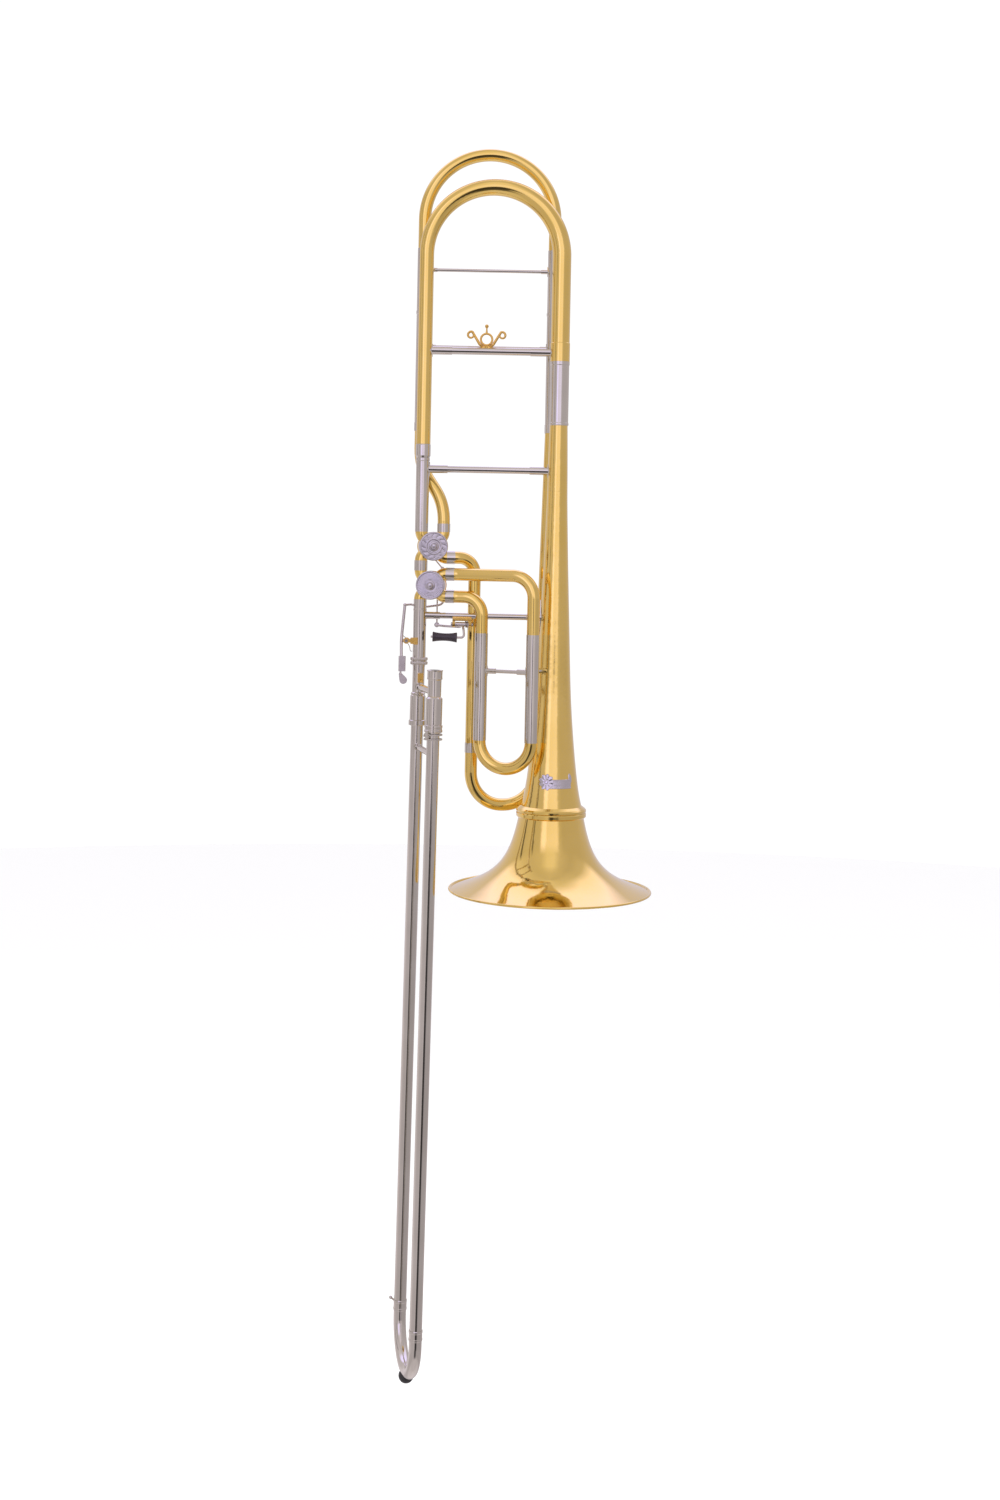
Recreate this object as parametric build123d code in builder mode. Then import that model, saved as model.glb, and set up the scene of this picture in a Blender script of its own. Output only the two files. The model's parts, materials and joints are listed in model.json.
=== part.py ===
from build123d import *
import os
from math import cos, radians, sin

# Contrabass trombone in F with two independent in-line rotary valves.
# Frame: origin at the centre of the bell mouth, +Z up the bell axis towards the
# tuning bows, +X from the slide towards the bell, +Y away from the player's side.
# All sizes are in millimetres.

# Bell
RIM_R = 133.5
BELL_WALL = 0.7
RING_R = 46.0
TAIL_BOTTOM = 612.0
TAIL_R = 12.45

# Tubes: outer radii and bores
BORE_R = 7.15
LOOP_R = 8.2
SLEEVE_R = 8.7
RECEIVER_BORE = 8.12
INNER_LEG_R = 8.04
INNER_LEG_BORE = 7.5

# Main tube line and main tuning slide
MAIN_X = -177.6
MAIN_LEG_R = 9.5
MAIN_BORE_R = 8.9
TUNING_SPRING = 835.0
WIDE_LEG_R = 12.4

# Rotary valves
BB_VALVE_Z = 450.4
D_VALVE_Z = 399.4
BB_VALVE_TURN = 8.0
D_VALVE_TURN = -4.0
PORT_OFFSET = 14.6
PORT_REACH = 18.95
PORT_BEND = 10.4
CASING_R = 18.0
CASING_BORE = 16.34
CASING_HALF = 15.0
ROTOR_R = 16.28
PASSAGE_R = 6.1
CAP_R = 18.9
FERRULE_LENGTH = 11.0

# BBb loop and its tuning slide, behind the main tubes
BB_Y = 23.5
BB_LEFT_X = -182.0
BB_RIGHT_X = -9.0
BB_SPRING = 884.0
BB_SPLIT = 762.0

# D loop and its tuning slide, in front of the bell
D_LEFT = (-96.0, -12.5)
D_RIGHT = (-29.0, -37.0)
D_RECEIVER_TOP = 338.0
D_SPLIT = 238.0
D_SPRING = 198.0

# Hand slide
SLIDE_TILT = 0.554
SLIDE_TOP = 300.0
SLIDE_SPACING = 103.0
SLIDE_TURN = -76.2
INNER_TUBE_R = 7.45
STOCKING_R = 7.52
OUTER_TUBE_R = 8.1
OUTER_TUBE_BORE = 7.6
SLIDE_END = -830.0
BOW_SPRING = -860.0
MOUTHPIECE_BORE = 6.35
VENTURI_BORE = 5.9

# Levers
HAND_BRACE_Z = 359.5
HAND_BRACE_R = 4.0
BB_HINGE = (-194.5, 325.7)
D_HINGE = (-2.0, 348.4)
LEVER_PIN_R = 1.5
LEVER_BORE = 1.56
LINK_PIN_R = 1.0
LINK_BALL_R = 2.0
BB_ARM_DEPTH = 34.0

os.makedirs("parts", exist_ok=True)


def finish(piece, name):
    """Label a finished piece and write it out."""
    piece.part.label = name
    export_step(piece.part, f"parts/{name}.step")


# ---------------------------------------------------------------- helpers
def aimed(start, end):
    """Plane at start whose normal points at end."""
    return Plane(origin=start, z_dir=Vector(*end) - Vector(*start))


def upright(x, y, z):
    return Plane(origin=(x, y, z))


def tube(start, end, outer, inner=0.0, mode=Mode.ADD):
    """Straight round tube, or a rod when it has no bore, in the open part."""
    with BuildSketch(aimed(start, end)) as ring:
        Circle(outer)
        if inner:
            Circle(inner, mode=Mode.SUBTRACT)
    extrude(ring.sketch, amount=(Vector(*end) - Vector(*start)).length, mode=mode)


def bent_tube(points, radii, outer, inner=0.0, mode=Mode.ADD):
    """Round tube or rod that follows straight runs joined by tangent arcs."""
    with BuildLine() as route:
        FilletPolyline(*points, radius=radii)
    with BuildSketch(aimed(points[0], points[1])) as ring:
        Circle(outer)
        if inner:
            Circle(inner, mode=Mode.SUBTRACT)
    sweep(sections=ring.sketch, path=route.line, mode=mode)


def turned(base, profile, mode=Mode.ADD):
    """Solid of revolution from (radius, height) points above a base plane."""
    side = Plane(origin=base.origin, x_dir=base.x_dir, z_dir=-base.y_dir)
    with BuildSketch(side) as outline:
        with BuildLine():
            Polyline(*profile, close=True)
        make_face()
    revolve(outline.sketch, axis=Axis(base.origin, base.z_dir), mode=mode)


def block(base, width, depth, height, mode=Mode.ADD):
    """Rectangular block centred on a plane's origin and rising from it."""
    with BuildSketch(base) as outline:
        Rectangle(width, depth)
    extrude(outline.sketch, amount=height, mode=mode)


def ball(centre, radius):
    with Locations(centre):
        Sphere(radius)


def wrapped_plate(centre, facing, leg_r, width, height, thick=0.8, corners=4):
    """Kite-shaped foot that lies on an upright tube and faces outwards."""
    x, y, z = centre
    with BuildSketch(upright(x, y, z - height)) as ring:
        Circle(leg_r + thick)
        Circle(leg_r, mode=Mode.SUBTRACT)
    shell = extrude(ring.sketch, amount=2 * height, mode=Mode.PRIVATE)
    with BuildSketch(Plane(origin=centre, x_dir=(0, 0, 1), z_dir=facing)) as kite:
        with BuildLine():
            Polyline((-height / 2, 0), (0, width / 2), (height / 2, 0), (0, -width / 2), close=True)
        make_face()
    prism = extrude(kite.sketch, amount=leg_r + thick + 2, mode=Mode.PRIVATE)
    add(shell & prism)


def cross_brace(left, right, left_r, right_r, rod_r, socket_r, socket_length, plate):
    """Rod between two upright tubes, with a socket and a foot at each end."""
    along = (Vector(*right) - Vector(*left)).normalized()
    start = Vector(*left)
    end = Vector(*right)
    tube(start, end, rod_r)
    tube(start, start + along * (left_r + socket_length), socket_r)
    tube(end, end - along * (right_r + socket_length), socket_r)
    for centre, radius in ((start, left_r), (end, right_r)):
        low = centre - Vector(0, 0, 60)
        high = centre + Vector(0, 0, 60)
        tube(low, high, radius, mode=Mode.SUBTRACT)
    wrapped_plate(tuple(start), along, left_r, *plate)
    wrapped_plate(tuple(end), -along, right_r, *plate)


def valve_plane(height, turn):
    """Plane through a valve's centre: x to the right, y up, z out of its cap."""
    c = cos(radians(turn))
    s = sin(radians(turn))
    centre = (MAIN_X + PORT_OFFSET * c, PORT_OFFSET * s, height)
    return Plane(origin=centre, x_dir=(c, s, 0), z_dir=(s, -c, 0))


def on_plane(base, x, y, z=0.0):
    return tuple(base.from_local_coords((x, y, z)))


def knuckle(base, side, rise, sideways):
    """Elbow from a valve port at 45 degrees to an upright or level tube."""
    reach = (side * PORT_OFFSET, rise * PORT_REACH)
    if sideways:
        reach = (side * PORT_REACH, rise * PORT_OFFSET)
    points = [
        on_plane(base, side * 9, rise * 9),
        on_plane(base, side * PORT_OFFSET, rise * PORT_OFFSET),
        on_plane(base, *reach),
    ]
    bent_tube(points, PORT_BEND, LOOP_R, BORE_R)


def bell_cone(z):
    """Radius of the straight cone under the screw rings."""
    return 43.1 - 0.2188 * (z - 97)


def slide_plane(height, near=False):
    """Plane across a slide tube, at a height along the slide above its top."""
    c = cos(radians(SLIDE_TILT))
    s = sin(radians(SLIDE_TILT))
    x_dir = Vector(c, 0, -s)
    up = Vector(s, 0, c)
    origin = Vector(MAIN_X, 0, SLIDE_TOP) + up * height
    if near:
        origin += x_dir * (SLIDE_SPACING * cos(radians(SLIDE_TURN)))
        origin += Vector(0, SLIDE_SPACING * sin(radians(SLIDE_TURN)), 0)
    return Plane(origin=origin, x_dir=x_dir, z_dir=up)


def slide_tube(low, high, outer, inner=0.0, near=False, mode=Mode.ADD):
    start = slide_plane(low, near).origin
    end = slide_plane(high, near).origin
    tube(start, end, outer, inner, mode)


BB_VALVE = valve_plane(BB_VALVE_Z, BB_VALVE_TURN)
D_VALVE = valve_plane(D_VALVE_Z, D_VALVE_TURN)

# ---------------------------------------------------------------- bell
flare_line = [(132.2, 0.6), (112.0, 7.5), (80.3, 23.7), (64.1, 39.5), (50.5, 66.6)]
with BuildPart() as bell_flare:
    with BuildSketch(Plane.XZ) as flare_outline:
        with BuildLine() as flare_curve:
            Spline(*flare_line, (bell_cone(98) - BELL_WALL / 2, 98.0))
        trace(flare_curve.line, BELL_WALL)
    revolve(flare_outline.sketch, axis=Axis.Z)
    with BuildSketch(Plane.XZ) as bead:
        with Locations((RIM_R - 1.6, 1.6)):
            Circle(1.6)
    revolve(bead.sketch, axis=Axis.Z)
finish(bell_flare, "bell_flare")

stem_line = [
    (37.6, 120.0),
    (33.1, 146.0),
    (27.2, 199.0),
    (23.1, 251.0),
    (19.7, 330.0),
    (15.6, 435.0),
    (13.2, 514.0),
    (11.45, 616.0),
]
with BuildPart() as bell_stem:
    with BuildSketch(Plane.XZ) as stem_outline:
        with BuildLine() as stem_curve:
            cone_edge = Line(
                (bell_cone(98) - BELL_WALL / 2, 98.05),
                (bell_cone(113) - BELL_WALL / 2, 113.0),
            )
            Spline(cone_edge @ 1, *stem_line, tangents=(cone_edge % 1, Vector(-0.02, 1)))
        trace(stem_curve.line, BELL_WALL)
    revolve(stem_outline.sketch, axis=Axis.Z)
finish(bell_stem, "bell_stem")

# Filled stem, used only to shape whatever is soldered to it
with BuildPart() as stem_core:
    with BuildSketch(Plane.XZ) as core_outline:
        with BuildLine():
            stem_skin = Spline(
                (bell_cone(113), 113.0),
                *[(r + BELL_WALL / 2, z) for r, z in stem_line],
                tangents=(Vector(-0.2188, 1), Vector(-0.02, 1)),
            )
            Polyline(stem_skin @ 1, (0, 616), (0, 113), stem_skin @ 0)
        make_face()
    revolve(core_outline.sketch, axis=Axis.Z)

with BuildPart() as bell_screw_rings:
    turned(
        Plane.XY,
        [
            (bell_cone(98) + 0.02, 98),
            (RING_R - 1.4, 98),
            (RING_R, 99.4),
            (RING_R, 103.4),
            (RING_R - 0.8, 104.6),
            (bell_cone(104.6) + 0.02, 104.6),
        ],
    )
    turned(
        Plane.XY,
        [
            (bell_cone(104.8) + 0.02, 104.8),
            (RING_R - 0.8, 104.8),
            (RING_R, 106),
            (RING_R, 108.2),
            (RING_R - 1.6, 110),
            (bell_cone(113) + 1.6, 112.4),
            (bell_cone(113) + 0.8, 113),
            (bell_cone(113) + 0.02, 113),
        ],
    )
finish(bell_screw_rings, "bell_screw_rings")

with BuildPart() as bell_badge:
    with BuildSketch(Plane.XZ) as badge_shell:
        with BuildLine() as badge_curve:
            Spline(*[(r + 0.9, z) for r, z in stem_line[:3]])
        trace(badge_curve.line, 0.8)
    revolve(badge_shell.sketch, axis=Axis.Z)
    with BuildSketch(Plane.XZ.offset(10)) as badge_outline:
        with Locations((-8, 147)):
            Ellipse(10, 10.5)
        with Locations((7, 144.4)):
            RectangleRounded(40, 12, 3)
        with Locations((25.4, 151.5)):
            Ellipse(2.4, 6.5, rotation=-14)
    extrude(badge_outline.sketch, amount=40, mode=Mode.INTERSECT)
finish(bell_badge, "bell_badge")

with BuildPart() as tuning_receivers:
    turned(
        upright(0, 0, TAIL_BOTTOM),
        [
            (11.98, 0),
            (TAIL_R, 0),
            (TAIL_R + 0.5, 1),
            (TAIL_R + 0.5, 3),
            (TAIL_R, 4),
            (TAIL_R, 79),
            (TAIL_R + 0.5, 80),
            (TAIL_R + 0.5, 84),
            (11.98, 84),
        ],
    )
    turned(
        upright(MAIN_X, 0, BB_VALVE_Z + PORT_REACH),
        [
            (BORE_R, 0),
            (SLEEVE_R, 0),
            (SLEEVE_R, 92.6),
            (SLEEVE_R + 0.5, 93.6),
            (SLEEVE_R + 0.5, 96.6),
            (RECEIVER_BORE, 96.6),
            (RECEIVER_BORE, 4),
            (BORE_R, 4),
        ],
    )
finish(tuning_receivers, "tuning_receivers")

with BuildPart() as bell_brace:
    cross_brace((MAIN_X, 0, 552), (0, 0, 552), SLEEVE_R, 12.95, 4.4, 5.3, 24, (13, 18))
    add(stem_core.part, mode=Mode.SUBTRACT)
finish(bell_brace, "bell_brace")

# ---------------------------------------------------------------- main tuning slide
with BuildPart() as tuning_bow:
    tube((MAIN_X, 0, 584.5), (MAIN_X, 0, TUNING_SPRING), MAIN_LEG_R, MAIN_BORE_R)
    tube((0, 0, 721), (0, 0, TUNING_SPRING), WIDE_LEG_R, WIDE_LEG_R - 0.6)
    with BuildLine() as bow_path:
        ThreePointArc(
            (MAIN_X, 0, TUNING_SPRING),
            (MAIN_X / 2, 0, TUNING_SPRING - MAIN_X / 2),
            (0, 0, TUNING_SPRING),
        )
    for wall, mode in ((0.0, Mode.ADD), (0.6, Mode.SUBTRACT)):
        with BuildSketch(upright(MAIN_X, 0, TUNING_SPRING)) as narrow_end:
            Circle(MAIN_LEG_R - wall)
        with BuildSketch(upright(0, 0, TUNING_SPRING)) as wide_end:
            Circle(WIDE_LEG_R - wall)
        sweep(
            sections=[narrow_end.sketch, wide_end.sketch],
            path=bow_path.line,
            multisection=True,
            mode=mode,
        )
    turned(
        upright(0, 0, 696.2),
        [
            (11.9, 0),
            (TAIL_R + 0.5, 0),
            (TAIL_R + 0.5, 24),
            (TAIL_R, 24.8),
            (11.9, 24.8),
        ],
    )
finish(tuning_bow, "tuning_bow")

with BuildPart() as tuning_inner_legs:
    tube((MAIN_X, 0, 482), (MAIN_X, 0, 584), INNER_LEG_R, INNER_LEG_BORE)
    tube((0, 0, 632), (0, 0, 720), 11.88, 11.3)
finish(tuning_inner_legs, "tuning_inner_legs")

with BuildPart() as tuning_ferrule:
    turned(
        upright(MAIN_X, 0, 566.2),
        [
            (INNER_LEG_R, 0),
            (SLEEVE_R, 0),
            (MAIN_LEG_R + 0.4, 3),
            (MAIN_LEG_R + 0.4, 17),
            (MAIN_LEG_R, 18.2),
            (INNER_LEG_R, 18.2),
        ],
    )
finish(tuning_ferrule, "tuning_ferrule")

with BuildPart() as tuning_brace:
    cross_brace(
        (MAIN_X, 0, 708), (0, 0, 708), MAIN_LEG_R, TAIL_R + 0.5, 4.8, 5.5, 26, (14, 17)
    )
finish(tuning_brace, "tuning_brace")

# A plain ring between two arms that end in balls, soldered on the brace
ORNAMENT_X = -97.0
ORNAMENT_Z = 712.6
with BuildPart() as tuning_ornament:
    block(upright(ORNAMENT_X, 0, ORNAMENT_Z), 16, 3, 3.4)
    with BuildSketch(Plane(origin=(ORNAMENT_X, 0, ORNAMENT_Z + 11), z_dir=(0, -1, 0))) as ring:
        Circle(9)
        Circle(6, mode=Mode.SUBTRACT)
    extrude(ring.sketch, amount=1.2, both=True)
    tube((ORNAMENT_X, 0, ORNAMENT_Z + 19), (ORNAMENT_X, 0, ORNAMENT_Z + 27), 1.2)
    ball((ORNAMENT_X, 0, ORNAMENT_Z + 28.5), 2.6)
    for side in (-1, 1):
        arm = [
            (ORNAMENT_X + side * 5, 0, ORNAMENT_Z + 2),
            (ORNAMENT_X + side * 17, 0, ORNAMENT_Z + 4),
            (ORNAMENT_X + side * 24, 0, ORNAMENT_Z + 17),
        ]
        bent_tube(arm, 8, 1.3)
        ball(arm[2], 2.4)
    tube((ORNAMENT_X - 30, 0, 708), (ORNAMENT_X + 30, 0, 708), 4.8, mode=Mode.SUBTRACT)
finish(tuning_ornament, "tuning_ornament")

# ---------------------------------------------------------------- valves
VALVES = (BB_VALVE, D_VALVE)
PORTS = ((-1, 1), (-1, -1), (1, 1), (1, -1))

with BuildPart() as valve_casings:
    for valve in VALVES:
        back = valve.offset(-CASING_HALF)
        turned(
            back,
            [
                (5.05, 0),
                (CASING_R + 0.5, 0),
                (CASING_R + 0.5, 1.6),
                (CASING_R, 2.2),
                (CASING_R, 2 * CASING_HALF),
                (CASING_BORE, 2 * CASING_HALF),
                (CASING_BORE, 3.5),
                (5.05, 3.5),
            ],
        )
        for side, rise in PORTS:
            tube(
                on_plane(valve, side * 8, rise * 8),
                on_plane(valve, side * 15, rise * 15),
                BORE_R,
                mode=Mode.SUBTRACT,
            )
finish(valve_casings, "valve_casings")

with BuildPart() as valve_bearing_plates:
    for valve in VALVES:
        turned(
            valve.offset(11),
            [(4.05, 0), (CASING_BORE, 0), (CASING_BORE, 2.4), (8, 2.4), (8, 3.6), (4.05, 3.6)],
        )
finish(valve_bearing_plates, "valve_bearing_plates")

with BuildPart() as valve_caps:
    for valve in VALVES:
        turned(
            valve.offset(9.5),
            [
                (CASING_R, 0),
                (CAP_R - 0.4, 0),
                (CAP_R, 0.5),
                (CAP_R, 9.0),
                (CAP_R - 1.0, 9.9),
                (CAP_R - 2.1, 9.9),
                (CAP_R - 2.5, 9.3),
                (11.0, 9.3),
                (10.4, 9.9),
                (9.2, 9.9),
                (8.4, 9.2),
                (6.4, 9.2),
                (6.4, 10.6),
                (5.4, 11.6),
                (3.2, 11.6),
                (2.9, 12.9),
                (2.0, 14.0),
                (0, 14.5),
                (0, 5.6),
                (CASING_R, 5.6),
            ],
        )
finish(valve_caps, "valve_caps")

with BuildPart() as valve_knuckles:
    for valve in VALVES:
        for side, rise in PORTS:
            level = side > 0 and not (valve is BB_VALVE and rise > 0)
            knuckle(valve, side, rise, level)
    for valve in VALVES:
        tube(
            on_plane(valve, 0, 0, -30),
            on_plane(valve, 0, 0, 30),
            CASING_R,
            mode=Mode.SUBTRACT,
        )
finish(valve_knuckles, "valve_knuckles")

LOOP_START = PORT_REACH + FERRULE_LENGTH
with BuildPart() as loop_ferrules:
    tube(
        (MAIN_X, 0, D_VALVE_Z + PORT_REACH),
        (MAIN_X, 0, BB_VALVE_Z - PORT_REACH),
        SLEEVE_R,
        BORE_R,
    )
    tube(
        on_plane(BB_VALVE, PORT_OFFSET, PORT_REACH),
        on_plane(BB_VALVE, PORT_OFFSET, LOOP_START),
        SLEEVE_R,
        BORE_R,
    )
    for valve, rise in ((BB_VALVE, -1), (D_VALVE, 1), (D_VALVE, -1)):
        tube(
            on_plane(valve, PORT_REACH, rise * PORT_OFFSET),
            on_plane(valve, LOOP_START, rise * PORT_OFFSET),
            SLEEVE_R,
            BORE_R,
        )
    tube((-106.8, 13, 179), (-106.8, 13, 192), SLEEVE_R, LOOP_R)
    tube((BB_RIGHT_X, BB_Y, 603), (BB_RIGHT_X, BB_Y, 614), SLEEVE_R + 0.4, LOOP_R + 0.5)
    tube((BB_LEFT_X, BB_Y, 603), (BB_LEFT_X, BB_Y, 614), SLEEVE_R + 0.4, LOOP_R)
finish(loop_ferrules, "loop_ferrules")

# Rotor turned 90 degrees joins the ports the other way round
with BuildPart() as bb_rotor:
    turned(
        BB_VALVE.offset(-CASING_HALF - 8.5),
        [
            (0, 0), (3.4, 0), (3.4, 6.5), (5, 6.5), (5, 12.3), (ROTOR_R, 12.3),
            (ROTOR_R, 34.2), (4, 34.2), (4, 37.5), (0, 37.5),
        ],
    )
    for side in (-1, 1):
        passage = [on_plane(BB_VALVE, side * 17, y) for y in (17, 0, -17)]
        passage[1] = on_plane(BB_VALVE, 0, 0)
        bent_tube(passage, ROTOR_R - 0.1, PASSAGE_R, mode=Mode.SUBTRACT)
finish(bb_rotor, "bb_rotor")

with BuildPart() as d_rotor:
    turned(
        D_VALVE.offset(-CASING_HALF - 8.5),
        [
            (0, 0), (3.4, 0), (3.4, 6.5), (5, 6.5), (5, 12.3), (ROTOR_R, 12.3),
            (ROTOR_R, 34.2), (4, 34.2), (4, 37.5), (0, 37.5),
        ],
    )
    for side in (-1, 1):
        passage = [on_plane(D_VALVE, side * 17, y) for y in (17, 0, -17)]
        passage[1] = on_plane(D_VALVE, 0, 0)
        bent_tube(passage, ROTOR_R - 0.1, PASSAGE_R, mode=Mode.SUBTRACT)
finish(d_rotor, "d_rotor")

# Stop arms: a hub with a stop lug on one side and the linkage pin on the other
ARM_BACK = -CASING_HALF - 1.2
ARM_THICK = 3.6
LUG_HALF = 3.0
BUMPER_R = 2.3
BUMPER_TRACK = 13.0
BB_PIN_R = 8.0
BB_PIN_ANGLE = 262.0
BB_LUG_ANGLE = 82.0
D_PIN_R = 7.0
D_PIN_ANGLE = -45.0
D_LUG_ANGLE = 135.0


def polar(radius, angle):
    return radius * cos(radians(angle)), radius * sin(radians(angle))


def stop_arm(valve, pin_r, pin_angle, lug_angle, pin_end):
    """Hub, lug and linkage pin behind a valve, around its spindle."""
    back = valve.offset(ARM_BACK)
    with BuildSketch(back) as arm_outline:
        Circle(6.6)
        with PolarLocations(0, 1, start_angle=lug_angle):
            with Locations((7.4, 0)):
                Rectangle(14.8, 2 * LUG_HALF)
        with Locations(polar(pin_r, pin_angle)):
            Circle(3)
    extrude(arm_outline.sketch, amount=-ARM_THICK)
    px, py = polar(pin_r, pin_angle)
    tube(on_plane(valve, px, py, ARM_BACK - 1), on_plane(valve, px, py, pin_end), 1.1)
    spindle = [on_plane(valve, 0, 0, z) for z in (-CASING_HALF, -CASING_HALF - 8.6)]
    tube(*spindle, 3.42, mode=Mode.SUBTRACT)
    tube(spindle[0], on_plane(valve, 0, 0, -CASING_HALF - 2), 5.05, mode=Mode.SUBTRACT)
    screw = valve.offset(-CASING_HALF - 8.6)
    with BuildSketch(screw) as screw_head:
        Circle(4.6)
    extrude(screw_head.sketch, amount=-1.8)
    with BuildSketch(screw.offset(-1.8)) as slot:
        Rectangle(9.4, 0.9)
    extrude(slot.sketch, amount=0.8, mode=Mode.SUBTRACT)


with BuildPart() as bb_stop_arm:
    stop_arm(BB_VALVE, BB_PIN_R, BB_PIN_ANGLE, BB_LUG_ANGLE, -28.2)
finish(bb_stop_arm, "bb_stop_arm")

with BuildPart() as d_stop_arm:
    stop_arm(D_VALVE, D_PIN_R, D_PIN_ANGLE, D_LUG_ANGLE, -28.0)
finish(d_stop_arm, "d_stop_arm")

BUMPER_STEP = 70.0
with BuildPart() as stop_bumpers:
    for valve, middle in ((BB_VALVE, BB_LUG_ANGLE - 45), (D_VALVE, D_LUG_ANGLE + 45)):
        for step in (-BUMPER_STEP, BUMPER_STEP):
            x, y = polar(BUMPER_TRACK, middle + step)
            tube(
                on_plane(valve, x, y, -CASING_HALF),
                on_plane(valve, x, y, ARM_BACK - ARM_THICK - 0.4),
                BUMPER_R,
            )
finish(stop_bumpers, "stop_bumpers")

# ---------------------------------------------------------------- BBb loop
bb_level = on_plane(BB_VALVE, LOOP_START, -PORT_OFFSET)
with BuildPart() as bb_loop_tubes:
    bent_tube(
        [
            on_plane(BB_VALVE, PORT_OFFSET, LOOP_START),
            on_plane(BB_VALVE, PORT_OFFSET, 56.6),
            (BB_LEFT_X, BB_Y, 556),
            (BB_LEFT_X, BB_Y, 614),
        ],
        66,
        LOOP_R,
        BORE_R,
    )
    bent_tube(
        [(BB_RIGHT_X, BB_Y, 613.6), (-20, 39.5, 109), (-106.8, 13, 109), (-106.8, 13, 184.9)],
        [44, 44],
        LOOP_R,
        BORE_R,
    )
    bent_tube(
        [
            bb_level,
            on_plane(BB_VALVE, LOOP_START + 3.2, -PORT_OFFSET),
            (-106.8, 13, bb_level[2]),
            (-106.8, 13, 185.1),
        ],
        [40, 21],
        LOOP_R,
        BORE_R,
    )
finish(bb_loop_tubes, "bb_loop_tubes")

with BuildPart() as bb_receivers:
    for x in (BB_LEFT_X, BB_RIGHT_X):
        turned(
            upright(x, BB_Y, 614),
            [
                (BORE_R, 0),
                (SLEEVE_R, 0),
                (SLEEVE_R, 143.5),
                (SLEEVE_R + 0.5, 144.5),
                (SLEEVE_R + 0.5, 148),
                (RECEIVER_BORE, 148),
                (RECEIVER_BORE, 4),
                (BORE_R, 4),
            ],
        )
finish(bb_receivers, "bb_receivers")

with BuildPart() as bb_inner_legs:
    for x in (BB_LEFT_X, BB_RIGHT_X):
        tube((x, BB_Y, 634), (x, BB_Y, 844), INNER_LEG_R, INNER_LEG_BORE)
finish(bb_inner_legs, "bb_inner_legs")

with BuildPart() as bb_sleeves:
    for x in (BB_LEFT_X, BB_RIGHT_X):
        tube((x, BB_Y, BB_SPLIT + 0.2), (x, BB_Y, 845), SLEEVE_R, INNER_LEG_R)
finish(bb_sleeves, "bb_sleeves")

with BuildPart() as bb_bow:
    middle_x = (BB_LEFT_X + BB_RIGHT_X) / 2
    bow_r = (BB_RIGHT_X - BB_LEFT_X) / 2
    for x in (BB_LEFT_X, BB_RIGHT_X):
        tube((x, BB_Y, 845), (x, BB_Y, BB_SPRING), LOOP_R, BORE_R)
    with BuildLine() as bb_bow_path:
        ThreePointArc(
            (BB_LEFT_X, BB_Y, BB_SPRING),
            (middle_x, BB_Y, BB_SPRING + bow_r),
            (BB_RIGHT_X, BB_Y, BB_SPRING),
        )
    with BuildSketch(upright(BB_LEFT_X, BB_Y, BB_SPRING)) as bb_bow_ring:
        Circle(LOOP_R)
        Circle(BORE_R, mode=Mode.SUBTRACT)
    sweep(sections=bb_bow_ring.sketch, path=bb_bow_path.line)
finish(bb_bow, "bb_bow")

SMALL_BRACE = (2.2, 2.9, 9, (9, 13))
SOLDER_SCALE = 1.001
with BuildPart() as bb_bow_brace:
    cross_brace(
        (BB_LEFT_X, BB_Y, 817), (BB_RIGHT_X, BB_Y, 817), SLEEVE_R, SLEEVE_R, *SMALL_BRACE
    )
finish(bb_bow_brace, "bb_bow_brace")

# ---------------------------------------------------------------- D loop
with BuildPart() as d_loop_tubes:
    for rise, leg, bend in ((1, D_RIGHT, 29), (-1, D_LEFT, 24)):
        level = on_plane(D_VALVE, LOOP_START, rise * PORT_OFFSET)
        bent_tube(
            [
                level,
                on_plane(D_VALVE, LOOP_START + 4.0, rise * PORT_OFFSET),
                (*leg, level[2]),
                (*leg, D_RECEIVER_TOP),
            ],
            [30, bend],
            LOOP_R,
            BORE_R,
        )
finish(d_loop_tubes, "d_loop_tubes")

with BuildPart() as d_receivers:
    for leg in (D_LEFT, D_RIGHT):
        turned(
            upright(*leg, D_SPLIT),
            [
                (RECEIVER_BORE, 0),
                (SLEEVE_R, 0),
                (SLEEVE_R, 100),
                (BORE_R, 100),
                (BORE_R, 96),
                (RECEIVER_BORE, 96),
            ],
        )
finish(d_receivers, "d_receivers")

with BuildPart() as loop_braces:
    cross_brace(
        (BB_LEFT_X, BB_Y, 715), (BB_RIGHT_X, BB_Y, 715), SLEEVE_R, SLEEVE_R, *SMALL_BRACE
    )
    cross_brace((*D_LEFT, 289), (*D_RIGHT, 289), SLEEVE_R, SLEEVE_R, 2.5, 3.6, 12, (9, 14))
    tube((*D_RIGHT, 291), (D_RIGHT[0] * 0.4, D_RIGHT[1] * 0.4, 291), 3.4)
    tube((*D_RIGHT, 230), (*D_RIGHT, 350), SLEEVE_R, mode=Mode.SUBTRACT)
    # a slightly larger core leaves room for the solder between brace and stem
    add(stem_core.part.scale(SOLDER_SCALE), mode=Mode.SUBTRACT)
finish(loop_braces, "loop_braces")

with BuildPart() as d_bow:
    d_axis = (Vector(*D_RIGHT) - Vector(*D_LEFT)).length / 2
    d_middle = (Vector(*D_RIGHT) + Vector(*D_LEFT)) / 2
    with BuildLine() as d_bow_path:
        ThreePointArc(
            (*D_LEFT, D_SPRING),
            (d_middle.X, d_middle.Y, D_SPRING - d_axis),
            (*D_RIGHT, D_SPRING),
        )
    with BuildSketch(upright(*D_LEFT, D_SPRING)) as d_bow_ring:
        Circle(LOOP_R)
        Circle(BORE_R, mode=Mode.SUBTRACT)
    sweep(sections=d_bow_ring.sketch, path=d_bow_path.line)
finish(d_bow, "d_bow")

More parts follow.
